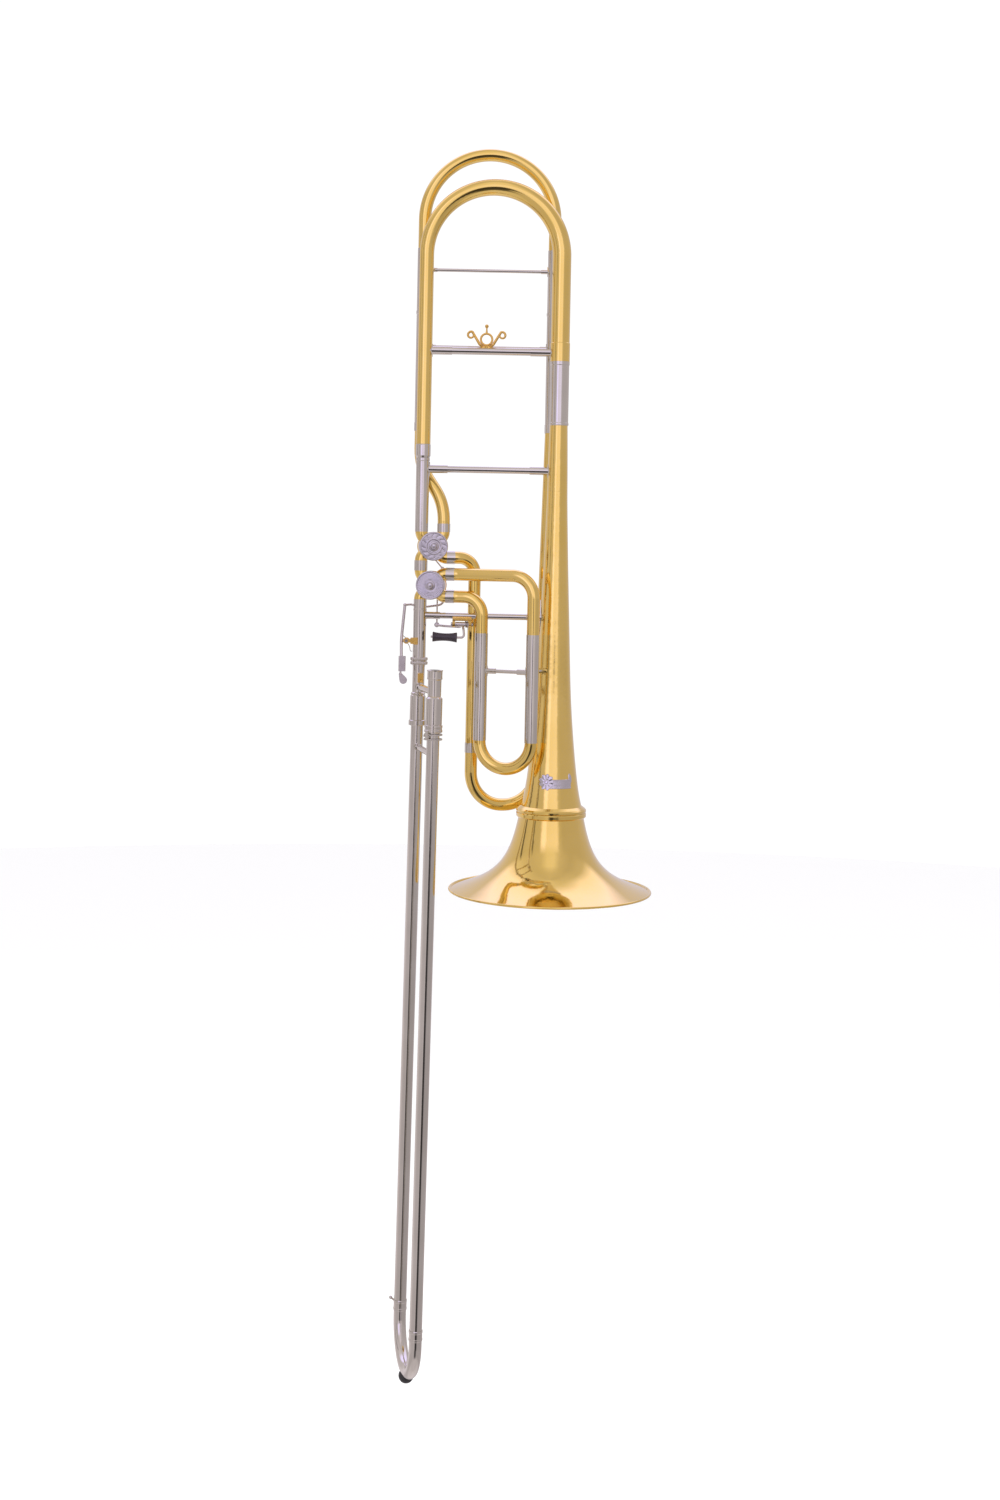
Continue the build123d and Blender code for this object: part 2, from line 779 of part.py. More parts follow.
with BuildPart() as d_inner_legs:
    for leg in (D_LEFT, D_RIGHT):
        tube((*leg, D_SPRING), (*leg, 326), INNER_LEG_R, INNER_LEG_BORE)
finish(d_inner_legs, "d_inner_legs")

with BuildPart() as d_sleeves:
    for leg in (D_LEFT, D_RIGHT):
        tube((*leg, D_SPRING), (*leg, D_SPLIT - 0.2), SLEEVE_R, INNER_LEG_R)
finish(d_sleeves, "d_sleeves")

# ---------------------------------------------------------------- slide receiver and hand brace
RECEIVER_LOW = 296.0
with BuildPart() as slide_receiver:
    turned(
        upright(MAIN_X, 0, RECEIVER_LOW),
        [
            (7.6, 0),
            (8.5, 0),
            (8.5, 69),
            (8.9, 69.8),
            (8.9, 71.4),
            (8.5, 72.2),
            (8.5, D_VALVE_Z - PORT_REACH - RECEIVER_LOW),
            (BORE_R, D_VALVE_Z - PORT_REACH - RECEIVER_LOW),
            (BORE_R, 28),
            (7.6, 26),
        ],
    )
finish(slide_receiver, "slide_receiver")

with BuildPart() as hand_brace:
    cross_brace(
        (MAIN_X, 0, HAND_BRACE_Z),
        (0, 0, HAND_BRACE_Z),
        8.5,
        19.0,
        HAND_BRACE_R,
        HAND_BRACE_R + 0.8,
        18,
        (10, 10),
    )
    wrapped_plate((0, 0, HAND_BRACE_Z), (-1, 0, 0), 19.0, 12, 46)
    add(stem_core.part, mode=Mode.SUBTRACT)
finish(hand_brace, "hand_brace")

with BuildPart() as lock_nut:
    turned(
        upright(MAIN_X, 0, 294.6),
        [
            (8.58, 0), (10.8, 0), (11.4, 0.7), (11.4, 3.4), (10.8, 4.1), (10.2, 4.4), (10.2, 5.2),
            (10.8, 5.5), (11.4, 6.2), (11.4, 8.9), (10.8, 9.6), (8.58, 9.6),
        ],
    )
finish(lock_nut, "lock_nut")

# ---------------------------------------------------------------- levers on the bell section
HINGE_X, HINGE_Z = BB_HINGE
D_HINGE_Y, D_HINGE_Z = D_HINGE
BRACKET_LEFT = -134.5
BRACKET_RIGHT = -109.5
EAR = 3.4

with BuildPart() as lever_posts:
    # bracket under the hand brace, with an ear at each end of the thumb lever
    with BuildSketch(Plane(origin=(BRACKET_LEFT, 0, 0), x_dir=(0, 1, 0), z_dir=(1, 0, 0))) as saddle:
        with Locations((-1.0, 355.7)):
            RectangleRounded(11, 5.4, 1.5)
    extrude(saddle.sketch, amount=BRACKET_RIGHT - BRACKET_LEFT)
    for x in (BRACKET_LEFT, BRACKET_RIGHT - EAR):
        with BuildSketch(Plane(origin=(x, 0, 0), x_dir=(0, 1, 0), z_dir=(1, 0, 0))) as ear:
            with Locations((D_HINGE_Y, D_HINGE_Z)):
                Circle(3.6)
            with Locations((D_HINGE_Y, D_HINGE_Z + 3)):
                Rectangle(7.2, 6)
            with Locations((D_HINGE_Y, D_HINGE_Z)):
                Circle(LEVER_PIN_R + 0.02, mode=Mode.SUBTRACT)
        extrude(ear.sketch, amount=EAR)
    tube((-150, 0, HAND_BRACE_Z), (-100, 0, HAND_BRACE_Z), HAND_BRACE_R, mode=Mode.SUBTRACT)
    # post on the slide receiver, with an ear each side of the finger lever
    for y in (-7.0, 3.0):
        with BuildSketch(Plane(origin=(0, y, 0), z_dir=(0, 1, 0), x_dir=(1, 0, 0))) as ear:
            with Locations((HINGE_X, -HINGE_Z)):
                Circle(3.9)
            with Locations((HINGE_X + 4.5, -HINGE_Z)):
                Rectangle(9, 4.4)
            with Locations((HINGE_X, -HINGE_Z)):
                Circle(LEVER_PIN_R + 0.02, mode=Mode.SUBTRACT)
        extrude(ear.sketch, amount=4)
    block(upright(HINGE_X + 8.4, 0, HINGE_Z - 4), 6, 14, 8)
    block(upright(HINGE_X + 12.2, -6.6, HINGE_Z - 4.6), 4.8, 8, 9.2)
    tube((MAIN_X, 0, 300), (MAIN_X, 0, 350), 8.5, mode=Mode.SUBTRACT)
finish(lever_posts, "lever_posts")

with BuildPart() as lever_screws:
    tube((HINGE_X, -7.2, HINGE_Z), (HINGE_X, 12, HINGE_Z), LEVER_PIN_R)
    tube((HINGE_X, -8.0, HINGE_Z), (HINGE_X, -7.1, HINGE_Z), 2.1)
    block(Plane(origin=(HINGE_X, -8.0, HINGE_Z), z_dir=(0, 1, 0)), 5, 0.7, 0.6, mode=Mode.SUBTRACT)
    tube((HINGE_X, 11, HINGE_Z), (HINGE_X, 12.6, HINGE_Z), 2.6)
    screw_y = D_HINGE_Y
    tube((-136.0, screw_y, D_HINGE_Z), (-108.0, screw_y, D_HINGE_Z), LEVER_PIN_R)
    tube((-136.6, screw_y, D_HINGE_Z), (-134.6, screw_y, D_HINGE_Z), 2.6)
    tube((-109.4, screw_y, D_HINGE_Z), (-107.6, screw_y, D_HINGE_Z), 2.6)
finish(lever_screws, "lever_screws")

# Coil springs drawn as separate turns, with one leg to the tube or the brace
with BuildPart() as lever_springs:
    for turn in range(4):
        with Locations(Plane(origin=(HINGE_X, 7.6 + turn * 0.95, HINGE_Z), z_dir=(0, 1, 0))):
            Torus(2.6, 0.5)
    tube((HINGE_X, 9.0, HINGE_Z - 2.6), (HINGE_X + 6.5, 8.6, HINGE_Z - 11), 0.5)
    for turn in range(4):
        with Locations(Plane(origin=(-117.4 + turn * 0.95, D_HINGE_Y, D_HINGE_Z), z_dir=(1, 0, 0))):
            Torus(3.9, 0.5)
finish(lever_springs, "lever_springs")

# ---------------------------------------------------------------- finger lever for the BBb valve
BB_ARM_END = (-150.0, BB_ARM_DEPTH, 421.0)
PLATE_Y = -8.5
with BuildPart() as bb_lever:
    tube((HINGE_X, -2.8, HINGE_Z), (HINGE_X, 2.8, HINGE_Z), 3.6)
    block(upright(HINGE_X - 3.6, 0, HINGE_Z - 2.4), 7, 4.4, 4.8)
    bent_tube(
        [(-200.4, -7.5, 300), (-201.4, -1, 326), (-197.5, 0, 372.5)],
        60,
        2.0,
    )
    ball((-197.5, 0, 372.5), 2.4)
    bent_tube(
        [
            (-197.5, 0, 372.5),
            (-190, 4, 373.2),
            (-183, 26, 370.5),
            (-170, BB_ARM_DEPTH, 369.5),
            (-147.5, BB_ARM_DEPTH, 373),
            (-146, BB_ARM_DEPTH, 402),
            BB_ARM_END,
        ],
        [4, 8, 7, 9, 9],
        1.5,
    )
    ball(BB_ARM_END, 1.8)
    tube(BB_ARM_END, (BB_ARM_END[0], 29.6, BB_ARM_END[2]), LINK_PIN_R)
    with BuildSketch(Plane(origin=(-199.4, PLATE_Y, 285.8), z_dir=(0, 0, 1))) as holder:
        RectangleRounded(9.2, 5.8, 1.0)
    extrude(holder.sketch, amount=20)
    tube((-201.2, PLATE_Y, 281), (-201.2, PLATE_Y, 287), 1.3)
    touch = Plane(origin=(-198.8, PLATE_Y + 0.9, 277), x_dir=(1, 0, 0), z_dir=(0, -1, 0))
    with BuildSketch(touch) as plate:
        with Locations((1.4, -2.8)):
            Circle(5.0)
        with Locations((-2.6, 5.2)):
            Circle(2.0)
        make_hull()
    extrude(plate.sketch, amount=1.8)
    tube((HINGE_X, -5, HINGE_Z), (HINGE_X, 5, HINGE_Z), LEVER_BORE, mode=Mode.SUBTRACT)
finish(bb_lever, "bb_lever")

BB_PIN = on_plane(BB_VALVE, *polar(BB_PIN_R, BB_PIN_ANGLE), -31.0)
BB_LINK_Y = 31.2


def link_eye(centre, outer, inner, half):
    """Ring at the end of a link, around a pin that runs along Y."""
    tube(centre - Vector(0, half, 0), centre + Vector(0, half, 0), outer, inner)


with BuildPart() as bb_link:
    arm_eye = Vector(BB_ARM_END[0], BB_LINK_Y, BB_ARM_END[2])
    pin_eye = Vector(BB_PIN[0], BB_LINK_Y, BB_PIN[2])
    to_pin = (pin_eye - arm_eye).normalized()
    link_eye(arm_eye, 2.4, LINK_PIN_R + 0.06, 0.9)
    link_eye(pin_eye, 2.4, LINK_PIN_R + 0.2, 0.9)
    tube(arm_eye + to_pin * 1.9, pin_eye - to_pin * 1.9, 0.95)
finish(bb_link, "bb_link")

# ---------------------------------------------------------------- thumb lever for the D valve
D_LINK_X = -156.0
D_LINK_Y = 28.5
D_ARM_Z = 346.0
ROLLER_Y = -13.0
ROLLER_Z = 331.6
with BuildPart() as d_lever:
    tube((-130.8, D_HINGE_Y, D_HINGE_Z), (-113.2, D_HINGE_Y, D_HINGE_Z), 3.1)
    bent_tube(
        [
            (-123, D_HINGE_Y, D_HINGE_Z - 1),
            (-124.5, 7, 344.6),
            (-146, 10, 345.4),
            (D_LINK_X + 0.6, 18, D_ARM_Z),
            (D_LINK_X, 24.0, D_ARM_Z),
        ],
        [3, 5, 3],
        1.6,
    )
    ball((D_LINK_X, 24.0, D_ARM_Z), 1.9)
    tube((D_LINK_X, 24, D_ARM_Z), (D_LINK_X, D_LINK_Y, D_ARM_Z), LINK_PIN_R)
    ball((D_LINK_X, D_LINK_Y, D_ARM_Z), LINK_BALL_R)
    bent_tube(
        [
            (-121, D_HINGE_Y, D_HINGE_Z),
            (-119.6, -9, 341),
            (-118.6, ROLLER_Y, ROLLER_Z),
            (-128, ROLLER_Y, ROLLER_Z),
            (-162.4, ROLLER_Y, ROLLER_Z + 0.6),
        ],
        [4, 4, 20],
        1.5,
    )
    tube((-140, D_HINGE_Y, D_HINGE_Z), (-100, D_HINGE_Y, D_HINGE_Z), LEVER_BORE, mode=Mode.SUBTRACT)
finish(d_lever, "d_lever")

with BuildPart() as d_roller:
    roller_axis = aimed((-128, ROLLER_Y, ROLLER_Z), (-162.4, ROLLER_Y, ROLLER_Z + 0.6))
    with BuildSketch(
        Plane(origin=roller_axis.origin, x_dir=roller_axis.x_dir, z_dir=-roller_axis.y_dir)
    ) as spool:
        with BuildLine():
            ThreePointArc((6.6, 0.6), (4.9, 16.0), (6.6, 31.4))
            Polyline((6.6, 31.4), (6.0, 32.0), (1.56, 32.0), (1.56, 0), (6.0, 0), (6.6, 0.6))
        make_face()
    revolve(spool.sketch, axis=Axis(roller_axis.origin, roller_axis.z_dir))
finish(d_roller, "d_roller")

D_PIN = on_plane(D_VALVE, *polar(D_PIN_R, D_PIN_ANGLE), -27.0)
with BuildPart() as d_link:
    low_eye = Vector(D_LINK_X, D_LINK_Y, D_ARM_Z)
    high_eye = Vector(D_LINK_X, D_LINK_Y, D_PIN[2])
    link_eye(low_eye, 3.4, LINK_BALL_R + 0.06, 1.1)
    link_eye(high_eye, 2.4, LINK_PIN_R + 0.2, 1.1)
    tube(low_eye + Vector(0, 0, 2.9), high_eye - Vector(0, 0, 1.9), 1.0)
finish(d_link, "d_link")

# ---------------------------------------------------------------- inner slide
with BuildPart() as slide_tenon:
    turned(
        upright(MAIN_X, 0, RECEIVER_LOW),
        [(7.0, -3.8), (8.3, -3.8), (8.3, -0.1), (7.5, -0.1), (7.5, 22), (7.0, 22)],
    )
    slide_tube(-44.0, -6.0, 7.95, INNER_TUBE_R)
    turned(
        slide_plane(-44.5),
        [(7.9, 0), (9.2, 0), (9.6, 0.6), (9.6, 1.4), (9.0, 2.2), (7.9, 3)],
    )
finish(slide_tenon, "slide_tenon")

with BuildPart() as inner_slide_tubes:
    for near in (False, True):
        top = -42.0 if near else -8.0
        slide_tube(SLIDE_END + 105, top, INNER_TUBE_R, 7.0, near)
        slide_tube(SLIDE_END, SLIDE_END + 105, STOCKING_R, 7.0, near)
finish(inner_slide_tubes, "inner_slide_tubes")

FAR_BARREL = (-85.0, -44.6)
NEAR_BARREL = (-74.6, -39.4)
LOCK_SEAT = 10.2
with BuildPart() as cork_barrels:
    for near, barrel_r in ((False, 10.1), (True, 10.6)):
        foot = [(8.9, 0), (10.9, 0), (11.3, 0.5), (11.3, 6.2), (10.1, 7.0)]
        if near:
            foot = [(8.9, -LOCK_SEAT), (9.4, -LOCK_SEAT), (9.4, 0), (10.2, 0), (10.6, 0.5)]
        barrel_low, barrel_top = NEAR_BARREL if near else FAR_BARREL
        length = barrel_top - barrel_low
        turned(
            slide_plane(barrel_low, near),
            [
                *foot,
                (barrel_r, length - 2),
                (8.6, length),
                (INNER_TUBE_R, length),
                (INNER_TUBE_R, length - 1.5),
                (8.9, length - 1.5),
            ],
        )
finish(cork_barrels, "cork_barrels")

with BuildPart() as slide_corks:
    for near, barrel_top in ((False, FAR_BARREL[1]), (True, NEAR_BARREL[1])):
        slide_tube(barrel_top - 10, barrel_top - 2, 8.85, 7.55, near)
finish(slide_corks, "slide_corks")

MOUTH_TOP = -5.5
with BuildPart() as mouthpiece_receiver:
    turned(
        slide_plane(MOUTH_TOP - 30, near=True),
        [
            (INNER_TUBE_R, -3.4),
            (8.6, -3.4),
            (8.6, 17.4),
            (9.3, 18.2),
            (9.9, 18.6),
            (9.9, 19.8),
            (9.6, 20.4),
            (9.6, 28.2),
            (10.3, 28.8),
            (10.35, 29.6),
            (9.9, 30),
            (MOUTHPIECE_BORE, 30),
            (MOUTHPIECE_BORE, 2),
            (INNER_TUBE_R, 2),
        ],
    )
finish(mouthpiece_receiver, "mouthpiece_receiver")

with BuildPart() as leadpipe:
    slide_tube(MOUTH_TOP - 220, MOUTH_TOP - 28.2, 6.95, VENTURI_BORE, near=True)
finish(leadpipe, "leadpipe")


def slide_brace(height, far_r, near_r, rod_r):
    """Cross brace from the far slide tube to the near one, with round feet."""
    far = slide_plane(height).origin
    close = slide_plane(height, near=True).origin
    along = (close - far).normalized()
    tube(far, close, rod_r)
    tube(far, far + along * (far_r + 9), rod_r + 0.9)
    tube(close, close - along * (near_r + 9), rod_r + 0.9)
    for near, radius in ((False, far_r), (True, near_r)):
        slide_tube(height - 25, height + 25, radius, near=near, mode=Mode.SUBTRACT)


with BuildPart() as inner_slide_brace:
    slide_brace(-34.0, 7.95, 8.6, 4.4)
finish(inner_slide_brace, "inner_slide_brace")

with BuildPart() as hand_rest_socket:
    socket_top = slide_plane(-16.0).origin + Vector(3.2, -11.4, 0)
    block(Plane(origin=socket_top - Vector(0, 0, 12.2), z_dir=(0, 0, 1)), 7.8, 8, 12.2)
    slide_tube(-60, 0, 7.95, mode=Mode.SUBTRACT)
    tube(
        socket_top - Vector(0, 6, 9.6),
        socket_top - Vector(0, -1, 9.6),
        1.7,
        mode=Mode.SUBTRACT,
    )
finish(hand_rest_socket, "hand_rest_socket")

# ---------------------------------------------------------------- outer slide
OUTER_TOP = -56.0
STUD_ANGLE = 195.0
STUD_HEIGHT = -88.6
HOOK_ANGLE = 232.0
FOOT_ANGLE = 222.0
HOOK_TRACK = 11.4
OUTER_LOW = -841.0
with BuildPart() as outer_slide_tubes:
    for near in (False, True):
        slide_tube(OUTER_LOW, OUTER_TOP, OUTER_TUBE_R, OUTER_TUBE_BORE, near)
    stud_plane = slide_plane(STUD_HEIGHT, near=True)
    tube(
        on_plane(stud_plane, *polar(OUTER_TUBE_R - 0.3, STUD_ANGLE)),
        on_plane(stud_plane, *polar(12.4, STUD_ANGLE)),
        1.5,
    )
finish(outer_slide_tubes, "outer_slide_tubes")

with BuildPart() as outer_slide_brace:
    slide_brace(-113.0, OUTER_TUBE_R, OUTER_TUBE_R, 4.0)
finish(outer_slide_brace, "outer_slide_brace")

with BuildPart() as slide_bow_ferrules:
    for near in (False, True):
        turned(
            slide_plane(OUTER_LOW - 12.5, near),
            [
                (LOOP_R, 0), (8.7, 0), (8.95, 0.8), (8.95, 2.6), (8.6, 3.2), (8.6, 10),
                (8.95, 10.8), (8.95, 12.6), (8.6, 13.4), (OUTER_TUBE_R, 13.4),
                (OUTER_TUBE_R, 12.6), (LOOP_R, 12.4),
            ],
        )
finish(slide_bow_ferrules, "slide_bow_ferrules")

KEY_HINGE = -857.0
KEY_PIN_OUT = 11.6
PAD_HEIGHT = -875.0
OUTWARD = (slide_plane(0).origin - slide_plane(0, near=True).origin).normalized()
SIDEWAYS = slide_plane(0).z_dir.cross(OUTWARD)


def key_point(out, height, side=0.0):
    """Point beside the far leg of the slide bow."""
    return slide_plane(height).origin + OUTWARD * out + SIDEWAYS * side


def key_cross(half, radius, mode=Mode.ADD):
    """Cylinder across the water key's hinge line."""
    left = key_point(KEY_PIN_OUT, KEY_HINGE, -half)
    tube(left, key_point(KEY_PIN_OUT, KEY_HINGE, half), radius, mode=mode)


bow_left = slide_plane(BOW_SPRING).origin
bow_right = slide_plane(BOW_SPRING, near=True).origin
bow_low = (bow_left + bow_right) / 2 + slide_plane(0).z_dir * (-SLIDE_SPACING / 2)
with BuildLine() as slide_bow_path:
    ThreePointArc(bow_left, bow_low, bow_right)
with BuildPart() as slide_bow:
    # ears and drain nipple of the water key, on the bow's far leg
    for side in (-3.4, 3.4):
        tube(key_point(5, KEY_HINGE, side), key_point(13.4, KEY_HINGE, side), 1.7)
    tube(key_point(4, PAD_HEIGHT), key_point(10.2, PAD_HEIGHT), 2.6)
    key_cross(1.7, 4, mode=Mode.SUBTRACT)
    key_cross(5.8, 1.0)
    for radius, mode in ((LOOP_R, Mode.ADD), (OUTER_TUBE_BORE, Mode.SUBTRACT)):
        for near in (False, True):
            slide_tube(BOW_SPRING, OUTER_LOW - 0.2, radius, near=near, mode=mode)
        with BuildSketch(slide_plane(BOW_SPRING)) as slide_bow_disc:
            Circle(radius)
        sweep(sections=slide_bow_disc.sketch, path=slide_bow_path.line, mode=mode)
    tube(key_point(0, PAD_HEIGHT), key_point(12, PAD_HEIGHT), 1.4, mode=Mode.SUBTRACT)
finish(slide_bow, "slide_bow")

with BuildPart() as slide_bumper:
    ball(tuple(bow_low + Vector(0, 0, -7.7)), 9.8)
    with BuildSketch(slide_plane(BOW_SPRING)) as bumper_cut:
        Circle(LOOP_R + 0.02)
    sweep(sections=bumper_cut.sketch, path=slide_bow_path.line, mode=Mode.SUBTRACT)
finish(slide_bumper, "slide_bumper")

# ---------------------------------------------------------------- slide lock
with BuildPart() as slide_lock_ring:
    lock_base = slide_plane(NEAR_BARREL[0] - 9.8, near=True)
    turned(
        lock_base,
        [
            (9.46, 0), (10.8, 0), (11.6, 0.7), (11.6, 3.0), (11.1, 3.5), (11.1, 6.0),
            (11.6, 6.5), (11.6, 8.8), (11.0, 9.5), (9.46, 9.5),
        ],
    )
    for angle, low, width, height in ((HOOK_ANGLE, -9.2, 4.2, 12), (FOOT_ANGLE, -9.2, 5.6, 1.8)):
        with BuildSketch(lock_base.offset(low)) as hook:
            with PolarLocations(0, 1, start_angle=angle):
                with Locations((HOOK_TRACK, 0)):
                    Rectangle(3.8, width)
        extrude(hook.sketch, amount=height)
    tube(
        lock_base.offset(-1).origin,
        lock_base.offset(11).origin,
        9.46,
        mode=Mode.SUBTRACT,
    )
finish(slide_lock_ring, "slide_lock_ring")

# ---------------------------------------------------------------- water key
with BuildPart() as water_key:
    key_cross(1.5, 1.9)
    bent_tube(
        [
            key_point(13.4, PAD_HEIGHT - 1),
            key_point(13.4, KEY_HINGE + 3),
            key_point(12.6, KEY_HINGE + 9, 3.4),
            key_point(7.2, -840, 11.4),
        ],
        [5, 4],
        1.2,
    )
    ball(tuple(key_point(7.2, -840, 11.4)), 2.2)
    tube(key_point(11.9, PAD_HEIGHT), key_point(13.9, PAD_HEIGHT), 4.0)
    key_cross(3, 1.06, mode=Mode.SUBTRACT)
finish(water_key, "water_key")

with BuildPart() as water_key_cork:
    tube(key_point(10.25, PAD_HEIGHT), key_point(11.9, PAD_HEIGHT), 3.4)
finish(water_key_cork, "water_key_cork")
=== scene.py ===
import json
from math import atan2, cos, pi, radians, sin, sqrt

import bpy
from mathutils import Matrix, Vector


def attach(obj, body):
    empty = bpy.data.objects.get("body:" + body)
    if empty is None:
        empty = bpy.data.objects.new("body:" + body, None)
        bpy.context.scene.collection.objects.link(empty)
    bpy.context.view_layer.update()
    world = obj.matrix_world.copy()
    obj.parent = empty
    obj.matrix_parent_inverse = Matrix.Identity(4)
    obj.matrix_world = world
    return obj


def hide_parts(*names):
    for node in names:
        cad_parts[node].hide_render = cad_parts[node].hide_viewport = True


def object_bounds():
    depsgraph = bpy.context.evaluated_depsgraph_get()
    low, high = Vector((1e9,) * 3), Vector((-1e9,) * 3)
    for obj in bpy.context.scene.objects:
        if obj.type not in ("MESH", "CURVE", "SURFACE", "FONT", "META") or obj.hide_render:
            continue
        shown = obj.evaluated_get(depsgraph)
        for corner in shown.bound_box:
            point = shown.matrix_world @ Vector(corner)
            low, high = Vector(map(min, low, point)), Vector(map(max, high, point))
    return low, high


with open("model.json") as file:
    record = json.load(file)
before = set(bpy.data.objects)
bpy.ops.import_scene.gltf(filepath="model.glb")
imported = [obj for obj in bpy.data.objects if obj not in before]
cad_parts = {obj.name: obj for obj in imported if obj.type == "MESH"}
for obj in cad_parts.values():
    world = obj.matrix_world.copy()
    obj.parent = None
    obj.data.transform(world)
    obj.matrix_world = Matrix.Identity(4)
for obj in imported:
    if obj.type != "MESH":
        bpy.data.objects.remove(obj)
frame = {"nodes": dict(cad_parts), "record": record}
cad_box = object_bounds()
nodes = frame["nodes"]
MM = 0.001


# ---------------------------------------------------------------- camera
CAMERA_PLACE = (-0.0742, -2.605, 0.4603)
CAMERA_ROLL = 0.0197
SENSOR_HEIGHT = 36.0
LENS = 47.54
LENS_SHIFT = -0.14


def make_camera():
    """Level view from the front, with a slight roll and the lens shifted down."""
    right = Vector((1, 0, CAMERA_ROLL)).normalized()
    up = Vector((-CAMERA_ROLL, 0, 1)).normalized()
    back = right.cross(up)
    place = Matrix((right, up, back)).transposed().to_4x4()
    place.translation = Vector(CAMERA_PLACE)
    data = bpy.data.cameras.new("camera")
    data.sensor_fit = "VERTICAL"
    data.sensor_height = SENSOR_HEIGHT
    data.lens = LENS
    data.shift_y = LENS_SHIFT
    camera = bpy.data.objects.new("camera", data)
    camera.matrix_world = place
    bpy.context.scene.collection.objects.link(camera)
    bpy.context.scene.camera = camera


# ---------------------------------------------------------------- studio
# Brightness of the studio around the object, by angle from the front in degrees, positive to
# the right. Each layer starts to show at one height, the sine of its elevation, and is full at
# the next.
LAYERS = [
    (None, [(-180, 0.80), (-60, 0.66), (0, 0.70), (60, 0.66), (180, 0.80)]),
    ((-0.80, -0.70), [
        (-180, 0.60), (-90, 0.56), (-24, 0.58), (-10, 0.10), (12, 0.10), (26, 0.50), (90, 0.50),
        (180, 0.60),
    ]),
    ((-0.52, -0.44), [
        (-180, 0.74), (-128, 0.78), (-106, 0.76), (-89, 0.62), (-48, 0.56), (-18, 0.58),
        (-12, 0.62), (-8, 0.05), (20, 0.05), (26, 0.40), (44, 0.47), (92, 0.46), (112, 0.50),
        (140, 0.54), (180, 0.70),
    ]),
    ((-0.15, -0.10), [
        (-180, 0.70), (-128, 0.66), (-112, 0.64), (-97, 0.62), (-95, 0.10), (-92, 0.10), (-90, 0.56),
        (-62, 0.64), (-60, 0.30), (-57, 0.30), (-55, 0.58), (-32, 0.60), (-20, 0.82), (-8, 1.00),
        (-4, 0.14), (4, 0.14), (8, 0.86), (14, 0.80), (25, 0.68), (38, 0.58), (46, 0.50), (92, 0.48),
        (112, 0.52), (140, 0.56), (180, 0.70),
    ]),
    ((-0.015, 0.03), [
        (-180, 0.70), (-128, 0.66), (-112, 0.64), (-97, 0.64), (-95, 0.10), (-92, 0.10), (-90, 0.60),
        (-62, 0.66), (-60, 0.22), (-57, 0.22), (-55, 0.60), (-36, 0.62), (-29, 1.18), (-20, 1.22),
        (-14, 0.98), (20, 1.02), (28, 0.62), (40, 0.54), (92, 0.54), (112, 0.56), (140, 0.58),
        (180, 0.70),
    ]),
    ((0.46, 0.60), [
        (-180, 1.25), (-130, 1.20), (-105, 0.80), (-60, 0.62), (-30, 0.68), (-10, 0.86), (10, 0.86),
        (30, 0.62), (60, 0.54), (100, 0.62), (125, 1.1), (180, 1.25),
    ]),
    ((0.86, 0.97), [(-180, 0.80), (-60, 0.62), (0, 0.66), (60, 0.60), (180, 0.80)]),
]
# Green and blue of the studio's light for a red of 1. Levels above BRIGHT_FROM take extra blue,
# up to BRIGHT_BLUE, which is reached BRIGHT_SPAN further up.
STUDIO_GREEN = 0.90
STUDIO_BLUE = 0.95
BRIGHT_BLUE = 0.55
BRIGHT_FROM = 0.85
BRIGHT_SPAN = 0.5
PAPER_STRENGTH = 1.05


def band_ramp(tree, angle, rows):
    """Colour ramp that reads the angle, 0 to 1, and gives the brightness at it."""
    ramp = tree.nodes.new("ShaderNodeValToRGB")
    tree.links.new(angle, ramp.inputs["Fac"])
    steps = ramp.color_ramp.elements
    while len(steps) < len(rows):
        steps.new(0.5)
    for step, (degrees, level) in zip(steps, rows):
        step.position = (degrees + 180) / 360
        bright = min(1, max(0, (level - BRIGHT_FROM) / BRIGHT_SPAN))
        blue = STUDIO_BLUE + BRIGHT_BLUE * bright
        step.color = (level, level * STUDIO_GREEN, level * blue, 1)
    return ramp.outputs["Color"]


def math_node(tree, operation, *values):
    """Output of a math node whose inputs are sockets or plain numbers."""
    node = tree.nodes.new("ShaderNodeMath")
    node.operation = operation
    for socket, value in zip(node.inputs, values):
        if isinstance(value, bpy.types.NodeSocket):
            tree.links.new(value, socket)
        else:
            socket.default_value = value
    return node.outputs[0]


